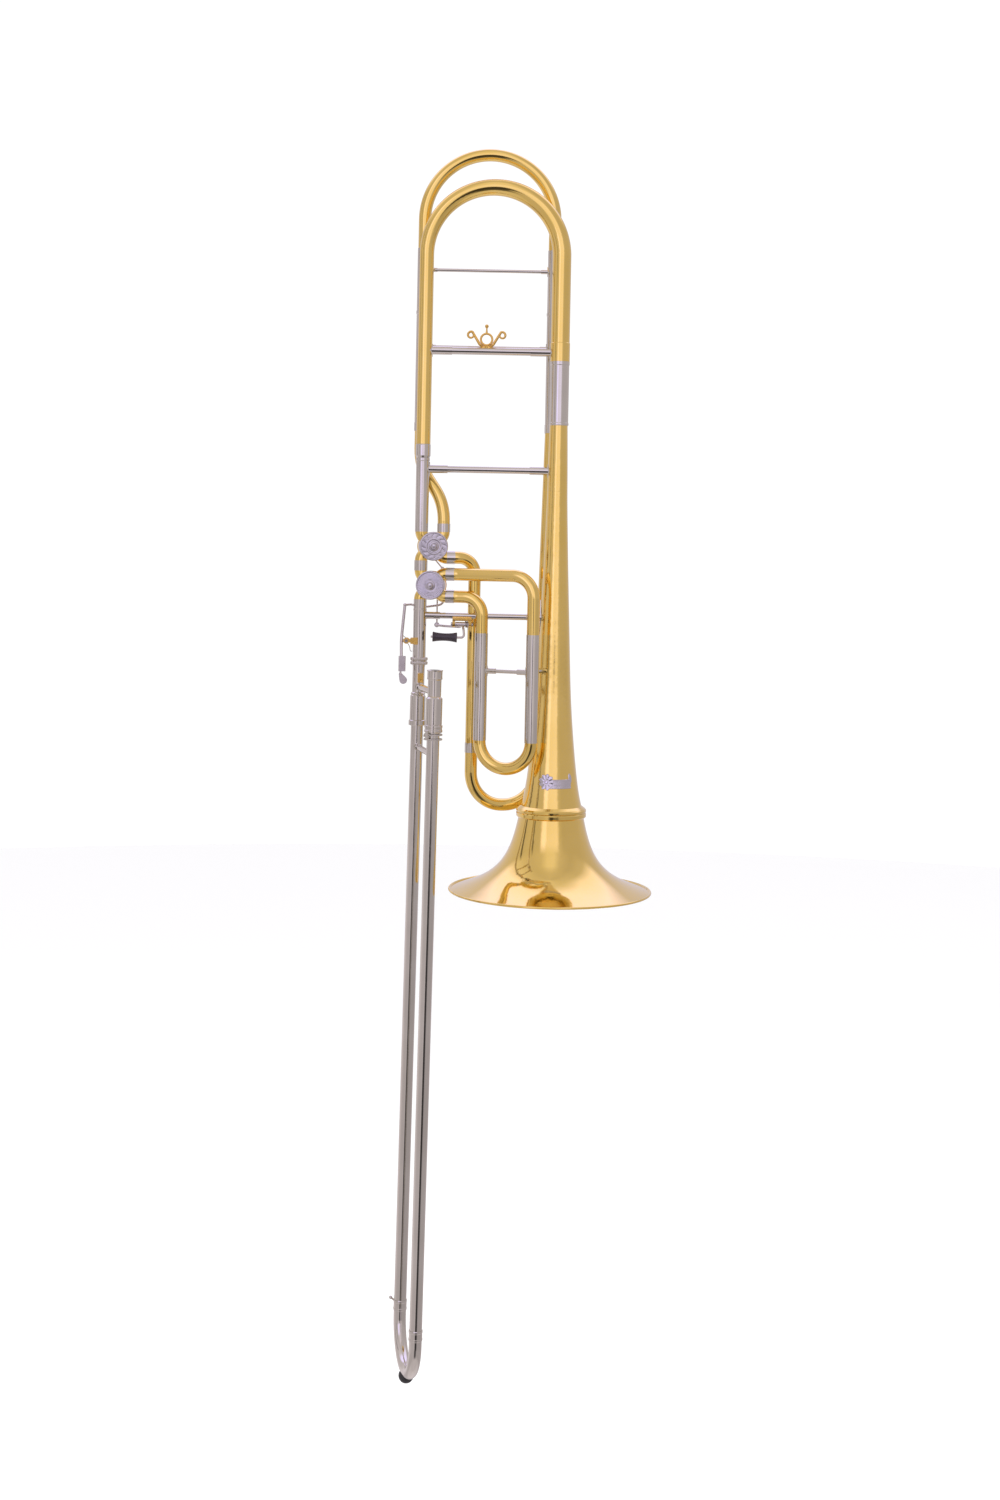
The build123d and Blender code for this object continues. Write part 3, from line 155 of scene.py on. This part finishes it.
def make_world():
    """Metal mirrors the studio's bands; the camera and matt surfaces see even white paper."""
    world = bpy.data.worlds.new("studio")
    bpy.context.scene.world = world
    world.use_nodes = True
    tree = world.node_tree
    tree.nodes.clear()
    direction = tree.nodes.new("ShaderNodeTexCoord").outputs["Generated"]
    parts = tree.nodes.new("ShaderNodeSeparateXYZ")
    tree.links.new(direction, parts.inputs[0])
    front = math_node(tree, "MULTIPLY", parts.outputs["Y"], -1.0)
    angle = math_node(tree, "ARCTAN2", parts.outputs["X"], front)
    turn = math_node(tree, "MULTIPLY_ADD", angle, 0.5 / pi, 0.5)
    seen_by_metal = None
    for heights, rows in LAYERS:
        bands = band_ramp(tree, turn, rows)
        if heights:
            rise = tree.nodes.new("ShaderNodeMapRange")
            rise.inputs["From Min"].default_value = heights[0]
            rise.inputs["From Max"].default_value = heights[1]
            tree.links.new(parts.outputs["Z"], rise.inputs["Value"])
            join = tree.nodes.new("ShaderNodeMix")
            join.data_type = "RGBA"
            tree.links.new(rise.outputs[0], join.inputs["Factor"])
            tree.links.new(seen_by_metal, join.inputs["A"])
            tree.links.new(bands, join.inputs["B"])
            bands = join.outputs["Result"]
        seen_by_metal = bands
    studio = tree.nodes.new("ShaderNodeBackground")
    tree.links.new(seen_by_metal, studio.inputs["Color"])
    paper = tree.nodes.new("ShaderNodeBackground")
    paper.inputs["Color"].default_value = (1, 1, 1, 1)
    paper.inputs["Strength"].default_value = PAPER_STRENGTH
    path = tree.nodes.new("ShaderNodeLightPath").outputs
    seen = math_node(tree, "MAXIMUM", path["Is Camera Ray"], path["Is Diffuse Ray"])
    mix = tree.nodes.new("ShaderNodeMixShader")
    tree.links.new(seen, mix.inputs["Fac"])
    tree.links.new(studio.outputs[0], mix.inputs[1])
    tree.links.new(paper.outputs[0], mix.inputs[2])
    output = tree.nodes.new("ShaderNodeOutputWorld")
    tree.links.new(mix.outputs[0], output.inputs["Surface"])


# Each softbox: name, place and size in metres, and power in watts.
SOFTBOXES = [
    ("key", (-1.5, -2.6, 1.2), (0.5, 2.2), 26),
    ("fill", (2.2, -1.6, 0.6), (0.7, 2.0), 14),
    ("top", (0, 0.2, 3.0), (2.4, 2.4), 40),
]
LIGHT_TARGET = (-0.09, 0, 0.15)


def softbox_light(name, place, size, power):
    """Rectangular softbox turned to the object, which the metal doesn't mirror."""
    data = bpy.data.lights.new(name, "AREA")
    data.shape = "RECTANGLE"
    data.size, data.size_y = size
    data.energy = power
    light = bpy.data.objects.new(name, data)
    light.location = place
    aim = Vector(LIGHT_TARGET) - Vector(place)
    light.rotation_euler = aim.to_track_quat("-Z", "Y").to_euler()
    light.visible_camera = False
    light.visible_glossy = False
    bpy.context.scene.collection.objects.link(light)


FLOOR_RADIUS = 9
FLOOR_SIDES = 96
FLOOR_DROP = 0.70
FLOOR_TONES = ((0.955, 0.96, 0.945, 1), (0.985, 0.99, 0.975, 1))


def make_floor():
    """Pale round floor below the slide's full travel, which the metal doesn't mirror."""
    mesh = bpy.data.meshes.new("floor")
    angles = [2 * pi * step / FLOOR_SIDES for step in range(FLOOR_SIDES)]
    ring = [(FLOOR_RADIUS * cos(angle), FLOOR_RADIUS * sin(angle), 0) for angle in angles]
    mesh.from_pydata(ring, [], [list(range(FLOOR_SIDES))])
    floor = bpy.data.objects.new("floor", mesh)
    floor.location = (0, 0, cad_box[0].z - FLOOR_DROP)
    floor.visible_glossy = False
    bpy.context.scene.collection.objects.link(floor)
    material = bpy.data.materials.new("floor_paper")
    material.use_nodes = True
    tree = material.node_tree
    shader = tree.nodes["Principled BSDF"]
    shader.inputs["Roughness"].default_value = 0.9
    grain = tree.nodes.new("ShaderNodeTexNoise")
    grain.inputs["Scale"].default_value = 3.0
    tone = tree.nodes.new("ShaderNodeValToRGB")
    for step, colour in zip(tone.color_ramp.elements, FLOOR_TONES):
        step.color = colour
    tree.links.new(grain.outputs["Fac"], tone.inputs["Fac"])
    tree.links.new(tone.outputs["Color"], shader.inputs["Base Color"])
    mesh.materials.append(material)


# ---------------------------------------------------------------- materials
# Noise values between which a colour changes, and between which a roughness changes.
COLOUR_SPAN = (0.35, 0.65)
ROUGHNESS_SPAN = (0.3, 0.7)
COAT_ROUGHNESS = 0.03
COAT_IOR = 1.5
DRIFT_SCALE = 14.0
GLOSS_SCALE = 70.0
HAIRLINE_SCALE = 900.0
HAIRLINE_DEPTH = 0.0004
GRAIN_DEPTH = 0.0006


def noise(tree, scale, detail):
    """Noise over the object's own coordinates."""
    where = tree.nodes.new("ShaderNodeTexCoord").outputs["Object"]
    texture = tree.nodes.new("ShaderNodeTexNoise")
    texture.inputs["Scale"].default_value = scale
    texture.inputs["Detail"].default_value = detail
    tree.links.new(where, texture.inputs["Vector"])
    return texture.outputs["Fac"]


def blend_colours(tree, factor, low, high):
    """Colour that goes from low to high with the factor."""
    ramp = tree.nodes.new("ShaderNodeValToRGB")
    for step, place, colour in zip(ramp.color_ramp.elements, COLOUR_SPAN, (low, high)):
        step.position = place
        step.color = (*colour, 1)
    tree.links.new(factor, ramp.inputs["Fac"])
    return ramp.outputs["Color"]


def spread(tree, factor, low, high):
    """Number that goes from low to high with the factor."""
    node = tree.nodes.new("ShaderNodeMapRange")
    node.inputs["From Min"].default_value = ROUGHNESS_SPAN[0]
    node.inputs["From Max"].default_value = ROUGHNESS_SPAN[1]
    node.inputs["To Min"].default_value = low
    node.inputs["To Max"].default_value = high
    tree.links.new(factor, node.inputs["Value"])
    return node.outputs[0]


def metal(name, tints, rough, coat=0.0, scratch=0.02):
    """Polished metal: slow colour drift, uneven gloss and hairline polishing marks."""
    material = bpy.data.materials.new(name)
    material.use_nodes = True
    tree = material.node_tree
    shader = tree.nodes["Principled BSDF"]
    shader.inputs["Metallic"].default_value = 1.0
    drift = noise(tree, DRIFT_SCALE, 3.0)
    tree.links.new(blend_colours(tree, drift, *tints), shader.inputs["Base Color"])
    gloss = noise(tree, GLOSS_SCALE, 4.0)
    tree.links.new(spread(tree, gloss, *rough), shader.inputs["Roughness"])
    if coat:
        shader.inputs["Coat Weight"].default_value = coat
        shader.inputs["Coat Roughness"].default_value = COAT_ROUGHNESS
        shader.inputs["Coat IOR"].default_value = COAT_IOR
    hairlines = noise(tree, HAIRLINE_SCALE, 2.0)
    bump = tree.nodes.new("ShaderNodeBump")
    bump.inputs["Strength"].default_value = scratch
    bump.inputs["Distance"].default_value = HAIRLINE_DEPTH
    tree.links.new(hairlines, bump.inputs["Height"])
    tree.links.new(bump.outputs[0], shader.inputs["Normal"])
    return material


def matt(name, tints, rough, scale, depth):
    """Rubber, plastic or cork: mottled colour over a fine moulded or pressed grain."""
    material = bpy.data.materials.new(name)
    material.use_nodes = True
    tree = material.node_tree
    shader = tree.nodes["Principled BSDF"]
    mottle = noise(tree, scale, 4.0)
    tree.links.new(blend_colours(tree, mottle, *tints), shader.inputs["Base Color"])
    tree.links.new(spread(tree, noise(tree, scale * 2, 3.0), *rough), shader.inputs["Roughness"])
    bump = tree.nodes.new("ShaderNodeBump")
    bump.inputs["Strength"].default_value = depth
    bump.inputs["Distance"].default_value = GRAIN_DEPTH
    tree.links.new(noise(tree, scale * 3, 5.0), bump.inputs["Height"])
    tree.links.new(bump.outputs[0], shader.inputs["Normal"])
    return material


def make_materials():
    """Every finish by its short name, each with its two tints and its range of roughness."""
    return {
        "brass": metal(
            "lacquered_brass", ((0.92, 0.66, 0.155), (0.96, 0.70, 0.19)), (0.05, 0.09), coat=1.0
        ),
        "gold": metal(
            "warm_brass", ((0.88, 0.56, 0.13), (0.93, 0.62, 0.17)), (0.24, 0.34), coat=0.6
        ),
        "nickel": metal("nickel_silver", ((0.66, 0.635, 0.57), (0.73, 0.705, 0.64)), (0.06, 0.11)),
        "satin": metal("satin_nickel", ((0.66, 0.62, 0.59), (0.74, 0.70, 0.67)), (0.26, 0.36)),
        "chrome": metal("hard_chrome", ((0.74, 0.73, 0.74), (0.80, 0.79, 0.80)), (0.03, 0.06)),
        "steel": metal(
            "turned_steel", ((0.46, 0.44, 0.42), (0.58, 0.56, 0.54)), (0.18, 0.30), scratch=0.1
        ),
        "engraved": metal(
            "engraved_nickel", ((0.60, 0.58, 0.62), (0.70, 0.67, 0.71)), (0.16, 0.26)
        ),
        "rubber": matt(
            "black_rubber", ((0.010, 0.010, 0.011), (0.022, 0.021, 0.022)), (0.45, 0.7), 260, 0.25
        ),
        "plastic": matt(
            "black_plastic", ((0.020, 0.014, 0.020), (0.034, 0.024, 0.034)), (0.26, 0.42), 180, 0.12
        ),
        "cork": matt(
            "pressed_cork", ((0.36, 0.22, 0.11), (0.60, 0.42, 0.25)), (0.75, 0.95), 700, 0.6
        ),
    }


def paint(piece, material):
    """Every material slot of a piece gets this material."""
    if not piece.material_slots:
        piece.data.materials.append(material)
    for slot in piece.material_slots:
        slot.link = "OBJECT"
        slot.material = material


make_camera()
make_world()
for softbox in SOFTBOXES:
    softbox_light(*softbox)
make_floor()
looks = make_materials()

FINISH_OF_SLOT = {
    "lacquered_brass": "brass",
    "nickel_silver": "nickel",
    "chrome_plate": "chrome",
    "steel": "steel",
    "spring_steel": "steel",
    "black_rubber": "rubber",
    "black_plastic": "plastic",
    "cork": "cork",
}
# These nodes have a warmer or duller finish than the rest of their material slot.
WARM = ("lever_posts", "hand_rest_socket")
SATIN = ("bb_lever", "d_lever", "bb_link", "d_link")
for part in frame["record"]["subparts"]:
    finish = FINISH_OF_SLOT[part["material_slot"]]
    if part["node"] in WARM:
        finish = "gold"
    if part["node"] in SATIN:
        finish = "satin"
    paint(nodes[part["node"]], looks[finish])


# ---------------------------------------------------------------- mesh building, in millimetres
def make_piece(name, points, faces, finish, body, slot):
    """Mesh object that rides on a body and takes the named finish; slot, its material slot, is not
    used.
    """
    mesh = bpy.data.meshes.new(name)
    mesh.from_pydata([Vector(point) * MM for point in points], [], faces)
    mesh.polygons.foreach_set("use_smooth", [True] * len(mesh.polygons))
    mesh.update()
    piece = bpy.data.objects.new(name, mesh)
    bpy.context.scene.collection.objects.link(piece)
    paint(piece, looks[finish])
    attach(piece, body)
    return piece


def place_at(origin, across, normal):
    """Matrix of a plane with this origin, x direction and normal."""
    z_dir = Vector(normal).normalized()
    x_dir = Vector(across).normalized()
    place = Matrix((x_dir, z_dir.cross(x_dir), z_dir)).transposed().to_4x4()
    place.translation = Vector(origin)
    return place


def soften(profile, step, rounds=2):
    """Profile cut into short runs, with its corners rounded off."""
    points = []
    for (r0, h0), (r1, h1) in zip(profile, profile[1:]):
        count = max(1, round(sqrt((r1 - r0) ** 2 + (h1 - h0) ** 2) / step))
        points += [(r0 + (r1 - r0) * i / count, h0 + (h1 - h0) * i / count) for i in range(count)]
    points.append(profile[-1])
    for _ in range(rounds):
        inner = [
            ((a[0] + 2 * b[0] + c[0]) / 4, (a[1] + 2 * b[1] + c[1]) / 4)
            for a, b, c in zip(points, points[1:], points[2:])
        ]
        points = [points[0], *inner, points[-1]]
    return points


def lathe(profile, place, count, shape=None):
    """Points and faces of a profile of (radius, height) turned about a plane's normal.

    shape takes a radius, a height and an angle and gives the radius and height to use there."""
    points = []
    for radius, height in profile:
        for step in range(count):
            angle = 2 * pi * step / count
            r, h = shape(radius, height, angle) if shape else (radius, height)
            points.append(place @ Vector((r * cos(angle), r * sin(angle), h)))
    faces = []
    for row in range(len(profile) - 1):
        for step in range(count):
            after = (step + 1) % count
            low, high = row * count, (row + 1) * count
            faces.append((low + step, low + after, high + after, high + step))
    if profile[0][0] > 0.01 and profile[0] == profile[-1]:
        return points, faces
    faces.append(tuple(reversed(range(count))))
    faces.append(tuple(range((len(profile) - 1) * count, len(profile) * count)))
    return points, faces


def wire(route, radius, sides):
    """Points and faces of a round wire along a list of points.

    radius is one number, or a list with one for each point."""
    route = [Vector(point) for point in route]
    radii = radius if isinstance(radius, list) else [radius] * len(route)
    points, faces, side = [], [], None
    for i, here in enumerate(route):
        ahead = (route[min(i + 1, len(route) - 1)] - route[max(i - 1, 0)]).normalized()
        if side is None:
            side = ahead.orthogonal().normalized()
        side = (side - ahead * side.dot(ahead)).normalized()
        other = ahead.cross(side)
        for step in range(sides):
            angle = 2 * pi * step / sides
            points.append(here + (side * cos(angle) + other * sin(angle)) * radii[i])
    for i in range(len(route) - 1):
        for step in range(sides):
            after = (step + 1) % sides
            low, high = i * sides, (i + 1) * sides
            faces.append((low + step, low + after, high + after, high + step))
    faces.append(tuple(reversed(range(sides))))
    faces.append(tuple(range((len(route) - 1) * sides, len(route) * sides)))
    return points, faces


def smooth_step(value, low, high):
    """Eased rise from 0 at low to 1 at high."""
    part = min(1.0, max(0.0, (value - low) / (high - low)))
    return part * part * (3 - 2 * part)


def joined(*shapes):
    """One list of points and faces from several."""
    points, faces = [], []
    for more_points, more_faces in shapes:
        start = len(points)
        points += more_points
        faces += [tuple(start + i for i in face) for face in more_faces]
    return points, faces


# ---------------------------------------------------------------- valve caps
# MAIN_X is where the main tube's axis lies. Each valve has a height and a turn in degrees, its
# middle is PORT_OFFSET beside that axis, and its cap's plane is CAP_SEAT in front of its middle.
MAIN_X = -177.6
BB_VALVE = (450.4, 8.0)
D_VALVE = (399.4, -4.0)
PORT_OFFSET = 14.6
CAP_SEAT = 9.5
CAP_R = 18.9
CAP_SIDES = 384
CAP_RELIEF = 0.3
RELIEF_LEVEL = 9.25
COIN_NOTCHES = 96
COIN_DEPTH = 0.16
CAP_PROFILE = [
    (0, 5.6), (18.0, 5.6), (18.0, 0), (CAP_R - 0.4, 0), (CAP_R, 0.5), (CAP_R, 9.0),
    (CAP_R - 0.9, 9.9), (CAP_R - 1.9, 9.9), (CAP_R - 2.4, RELIEF_LEVEL), (11.0, RELIEF_LEVEL),
    (10.6, 9.9), (9.0, 9.9), (8.2, 9.2), (6.4, 9.2), (6.3, 10.5), (5.4, 11.3), (4.4, 11.4),
    (4.1, 12.3), (3.2, 13.5), (1.7, 14.3), (0, 14.5),
]


def leaf_relief(part, angle):
    """Height from 0 to 1 of a ring of twelve curled leaves with veins; part runs outwards."""
    lobe = abs(cos(6 * angle + 1.5 * part))
    vein = abs(sin(36 * angle + 9 * part))
    scroll = 0.5 + 0.5 * cos(24 * angle - 14 * part)
    return 0.55 * lobe ** 0.7 + 0.25 * vein * lobe + 0.30 * scroll * (1 - lobe)


def scale_relief(part, angle):
    """Height from 0 to 1 of rows of small overlapping scales, finer than the leaves."""
    row = part * 5
    turn = 22 * angle + pi * (int(row) % 2)
    scale = 0.6 * abs(cos(turn)) ** 0.6 * (1 - (row % 1) * 0.7)
    return scale + 0.25 * abs(sin(66 * angle + 20 * part))


def valve_cap(name, height, turn, relief, inner):
    """Screwed cap: coin edge, raised rim, engraved ring, smooth ring and turned boss.

    inner is the radius where the engraving starts; below 9 mm, the smooth ring is left out."""
    c, s = cos(radians(turn)), sin(radians(turn))
    seat = Vector((MAIN_X + PORT_OFFSET * c, PORT_OFFSET * s, height))
    place = place_at(seat + Vector((s, -c, 0)) * CAP_SEAT, (c, s, 0), (s, -c, 0))
    outer = CAP_R - 2.5

    def carve(r, h, angle):
        if h > 9 and inner < r < outer:
            part = (r - inner) / (outer - inner)
            edge = smooth_step(part, 0, 0.08) * smooth_step(1 - part, 0, 0.08)
            h += CAP_RELIEF * edge * (relief(part, angle) - 0.35)
        if r > CAP_R - 0.2 and 1.2 < h < 8.2:
            r -= COIN_DEPTH * (0.5 + 0.5 * cos(COIN_NOTCHES * angle))
        return r, h

    profile = soften(CAP_PROFILE, 0.22)
    if inner < 9:
        profile = [(r, min(h, RELIEF_LEVEL) if 7 < r < outer else h) for r, h in profile]
    shape = lathe(profile, place, CAP_SIDES, carve)
    return make_piece(name, *shape, "engraved", "bell_section", "nickel_silver")


bb_cap = valve_cap("bb_valve_cap", *BB_VALVE, leaf_relief, 10.9)
d_cap = valve_cap("d_valve_cap", *D_VALVE, scale_relief, 7.2)
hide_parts("valve_caps")
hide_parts("valve_caps")

# ---------------------------------------------------------------- knurled rings
NUT_BASE = 294.6
NUT_R = 11.4
NUT_PROFILE = [
    (8.58, 0), (10.8, 0), (11.4, 0.7), (11.4, 3.4), (10.8, 4.1), (10.2, 4.4), (10.2, 5.2),
    (10.8, 5.5), (11.4, 6.2), (11.4, 8.9), (10.8, 9.6), (8.58, 9.6), (8.58, 0),
]


def knurled(crown, depth, count):
    """Shape for lathe that cuts notches into whatever reaches the crown radius."""

    def notch(r, h, angle):
        reach = smooth_step(r, crown - 0.5, crown)
        return r - depth * reach * (0.5 + 0.5 * cos(count * angle)), h

    return notch


nut_place = place_at((MAIN_X, 0, NUT_BASE), (1, 0, 0), (0, 0, 1))
nut = make_piece(
    "lock_nut_knurled",
    *lathe(soften(NUT_PROFILE, 0.3, 1), nut_place, 360, knurled(NUT_R, 0.45, 60)),
    "nickel",
    "lock_nut_ring",
    "nickel_silver",
)
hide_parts("lock_nut")

# The slide hangs from this height at this tilt, and its near tube is this far off, at this turn.
SLIDE_TOP = 300
SLIDE_TILT = radians(0.554)
SLIDE_SPACING = 103
SLIDE_TURN = radians(-76.2)
SLIDE_UP = Vector((sin(SLIDE_TILT), 0, cos(SLIDE_TILT)))
SLIDE_SIDE = Vector((cos(SLIDE_TILT), 0, -sin(SLIDE_TILT)))
# The knurled bands are placed from KNURL_BASE, a height along the slide, and have these radii.
# KNURL_BASE is 10.4 mm too low: the base of the CAD's lock ring is at -84.4.
KNURL_BASE = -94.8
KNURL_INNER = 11.4
KNURL_R = 11.75


def near_tube_point(height):
    """Point on the near slide tube's axis, at a height along the slide above its top."""
    near = SLIDE_SIDE * (SLIDE_SPACING * cos(SLIDE_TURN))
    near += Vector((0, SLIDE_SPACING * sin(SLIDE_TURN), 0))
    return Vector((MAIN_X, 0, SLIDE_TOP)) + SLIDE_UP * height + near


knurl_place = place_at(near_tube_point(KNURL_BASE), SLIDE_SIDE, SLIDE_UP)
grips = []
for low in (0.7, 6.5):
    band = [
        (KNURL_INNER, low + 0.1), (KNURL_R, low + 0.3), (KNURL_R, low + 2.0),
        (KNURL_INNER, low + 2.2), (KNURL_INNER, low + 0.1),
    ]
    grips.append(lathe(soften(band, 0.25, 1), knurl_place, 300, knurled(KNURL_R, 0.3, 60)))
make_piece("slide_lock_knurl", *joined(*grips), "nickel", "slide_lock", "nickel_silver")


# ---------------------------------------------------------------- coil springs of the levers
COIL_STEPS = 28
COIL_TURNS = 3.5
SPRING_WIRE_R = 0.48


def coil(start, axis, first, radius, pitch):
    """Points of a helix about an axis, from the side that first names."""
    axis = Vector(axis).normalized()
    side = Vector(first).normalized()
    other = axis.cross(side)
    points = []
    for i in range(round(COIL_TURNS * COIL_STEPS) + 1):
        angle = 2 * pi * i / COIL_STEPS
        out = (side * cos(angle) + other * sin(angle)) * radius
        points.append(Vector(start) + axis * (pitch * i / COIL_STEPS) + out)
    return points


def spring_wire(route):
    """Spring wire along a route, with its corners eased."""
    for _ in range(2):
        eased = [route[0]]
        for a, b in zip(route, route[1:]):
            eased += [a * 0.75 + b * 0.25, a * 0.25 + b * 0.75]
        route = [*eased, route[-1]]
    return wire(route, SPRING_WIRE_R, 10)


hinge = Vector((-194.5, 0, 325.7))
finger_coil = coil(hinge + Vector((0, 7.4, 0)), (0, 1, 0), (0, 0, -1), 2.65, 0.98)
finger_route = [
    hinge + Vector((7.6, -4.0, -13.4)),
    hinge + Vector((6.2, -1.0, -14.2)),
    hinge + Vector((4.6, 2.0, -12.4)),
    hinge + Vector((4.4, 5.2, -9.0)),
    hinge + Vector((2.2, 7.0, -5.2)),
    *finger_coil,
    hinge + Vector((-3.4, 9.4, 4.2)),
    hinge + Vector((-6.0, 4.2, 7.6)),
]
thumb_hinge = Vector((-117.7, -2.0, 348.4))
thumb_route = [
    thumb_hinge + Vector((0, 3.9, 5.4)),
    *coil(thumb_hinge, (1, 0, 0), (0, 1, 0), 3.8, 1.02),
    thumb_hinge + Vector((3.7, -4.2, -6.8)),
]
springs = make_piece(
    "lever_coil_springs",
    *joined(spring_wire(finger_route), spring_wire(thumb_route)),
    "steel",
    "bell_section",
    "spring_steel",
)
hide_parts("lever_springs")


# ---------------------------------------------------------------- badge on the bell
# Places are x round the bell and z up it, in millimetres. The leaf is a rosette, the band lies
# beside it, and the tail is the leaning oval at the band's end.
LEAF_X, LEAF_Z = -8, 147
BAND_X, BAND_Z = 7, 144.4
TAIL_X, TAIL_Z = 25.4, 151.5
TAIL_LEAN = 0.24
ROSETTE_R = 9
BADGE_GRID = 0.22
STEM_R_IF_MISSED = 34.0


def stem_radius(height):
    """Outer radius of the bell's stem, measured on the CAD node."""
    start = Vector((0.0, -0.2, height * MM))
    hit, where, _, _ = nodes["bell_stem"].ray_cast(start, Vector((0, 1, 0)))
    return -where.y / MM if hit else STEM_R_IF_MISSED


def badge_depth(x, z):
    """How far a point lies inside the badge's outline, in millimetres."""
    leaf = 1 - sqrt(((x - LEAF_X) / 10) ** 2 + ((z - LEAF_Z) / 10.5) ** 2)
    scallop = 0.9 * cos(9 * atan2(z - LEAF_Z, x - LEAF_X))
    tail_x = (x - TAIL_X) * cos(TAIL_LEAN) + (z - TAIL_Z) * sin(TAIL_LEAN)
    tail_z = (z - TAIL_Z) * cos(TAIL_LEAN) - (x - TAIL_X) * sin(TAIL_LEAN)
    tail = 1 - sqrt((tail_x / 2.4) ** 2 + (tail_z / 6.5) ** 2)
    band = min(20 - abs(x - BAND_X), 6 - abs(z - BAND_Z))
    return max(leaf * 10 + scallop - 0.5, band, tail * 2.6)


def badge_height(x, z):
    """Height of the badge above the bell: a leaf rosette with a ribbed ribbon beside it."""
    inside = badge_depth(x, z)
    if inside < 0:
        return -0.3
    rise = 0.55 * smooth_step(inside, 0, 0.5)
    ring = sqrt((x - LEAF_X) ** 2 + (z - LEAF_Z) ** 2)
    turn = atan2(z - LEAF_Z, x - LEAF_X)
    if ring < ROSETTE_R:
        petals = 0.35 * abs(cos(4.5 * turn)) * smooth_step(ring, 1.5, 5)
        rise += petals + 0.5 * smooth_step(2.4 - ring, 0, 1)
    else:
        edging = 0.28 * (abs(z - BAND_Z) > 4.6)
        rise += edging + 0.16 * (0.5 + 0.5 * sin(2.6 * x + 1.4 * z))
    return rise


grid_x = [-20 + BADGE_GRID * i for i in range(222)]
grid_z = [136 + BADGE_GRID * i for i in range(110)]
badge_points, badge_faces = [], []
for z in grid_z:
    skin = stem_radius(z)
    for x in grid_x:
        angle = x / skin
        radius = skin + badge_height(x, z)
        badge_points.append((radius * sin(angle), -radius * cos(angle), z))
for row in range(len(grid_z) - 1):
    for column in range(len(grid_x) - 1):
        corner = row * len(grid_x) + column
        quad = (corner, corner + 1, corner + 1 + len(grid_x), corner + len(grid_x))
        depths = [
            badge_depth(x, z)
            for x in grid_x[column:column + 2]
            for z in grid_z[row:row + 2]
        ]
        if max(depths) > -0.5:
            badge_faces.append(quad)
badge = make_piece(
    "bell_badge_relief",
    badge_points,
    badge_faces,
    "engraved",
    "bell_section",
    "nickel_silver",
)
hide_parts("bell_badge")

# ---------------------------------------------------------------- ornament on the tuning brace
ORNAMENT = Vector((-97.0, 0, 712.6))
SCROLL_STEPS = 33
SCROLL_REACH = 20.5
SCROLL_RISE = 16.5
SCROLL_R = 4.6


def scroll_arm(side):
    """Bar that leans out from the foot and curls inwards into an open scroll."""
    route = [ORNAMENT + Vector((side * 4.5, 0, 0.5)), ORNAMENT + Vector((side * 9, 0, 4.5))]
    centre = ORNAMENT + Vector((side * SCROLL_REACH, 0, SCROLL_RISE))
    for i in range(SCROLL_STEPS + 1):
        angle = 0.62 * pi - 1.95 * pi * i / SCROLL_STEPS
        radius = SCROLL_R * (1 - 0.35 * i / SCROLL_STEPS)
        route.append(centre + Vector((side * -radius * cos(pi - angle), 0, radius * sin(angle))))
    thick = [1.9] * 2 + [1.7 - 0.6 * i / SCROLL_STEPS for i in range(SCROLL_STEPS + 1)]
    return wire(route, thick, 14)


ring_place = place_at(ORNAMENT + Vector((0, 0, 11)), (1, 0, 0), (0, -1, 0))
ring_section = [(7.5 + 1.45 * cos(a * pi / 12), 1.2 * sin(a * pi / 12)) for a in range(25)]
ring_section[-1] = ring_section[0]
foot_place = place_at(ORNAMENT, (1, 0, 0), (0, 0, 1))
foot = [(0, -1.5), (7.4, -1.5), (7.8, -0.6), (7.0, 1.4), (4.4, 2.9), (0, 3.3)]
finial = [
    (0, 18.6), (1.5, 19.2), (1.2, 22), (0.9, 25.5), (2.3, 27.2), (2.5, 28.8), (1.6, 30.4),
    (0, 31.0),
]


def flatten(r, h, angle):
    """Shape for lathe: a long foot, narrow from front to back."""
    return r * (1 - 0.72 * sin(angle) ** 2), h


ornament = make_piece(
    "tuning_scrolls",
    *joined(
        scroll_arm(-1),
        scroll_arm(1),
        lathe(ring_section, ring_place, 64),
        lathe(soften(foot, 0.5), foot_place, 48, flatten),
        lathe(soften(finial, 0.4), foot_place, 32),
    ),
    "gold",
    "main_tuning_slide",
    "lacquered_brass",
)
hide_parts("tuning_ornament")

bpy.context.scene.view_settings.view_transform = "Standard"
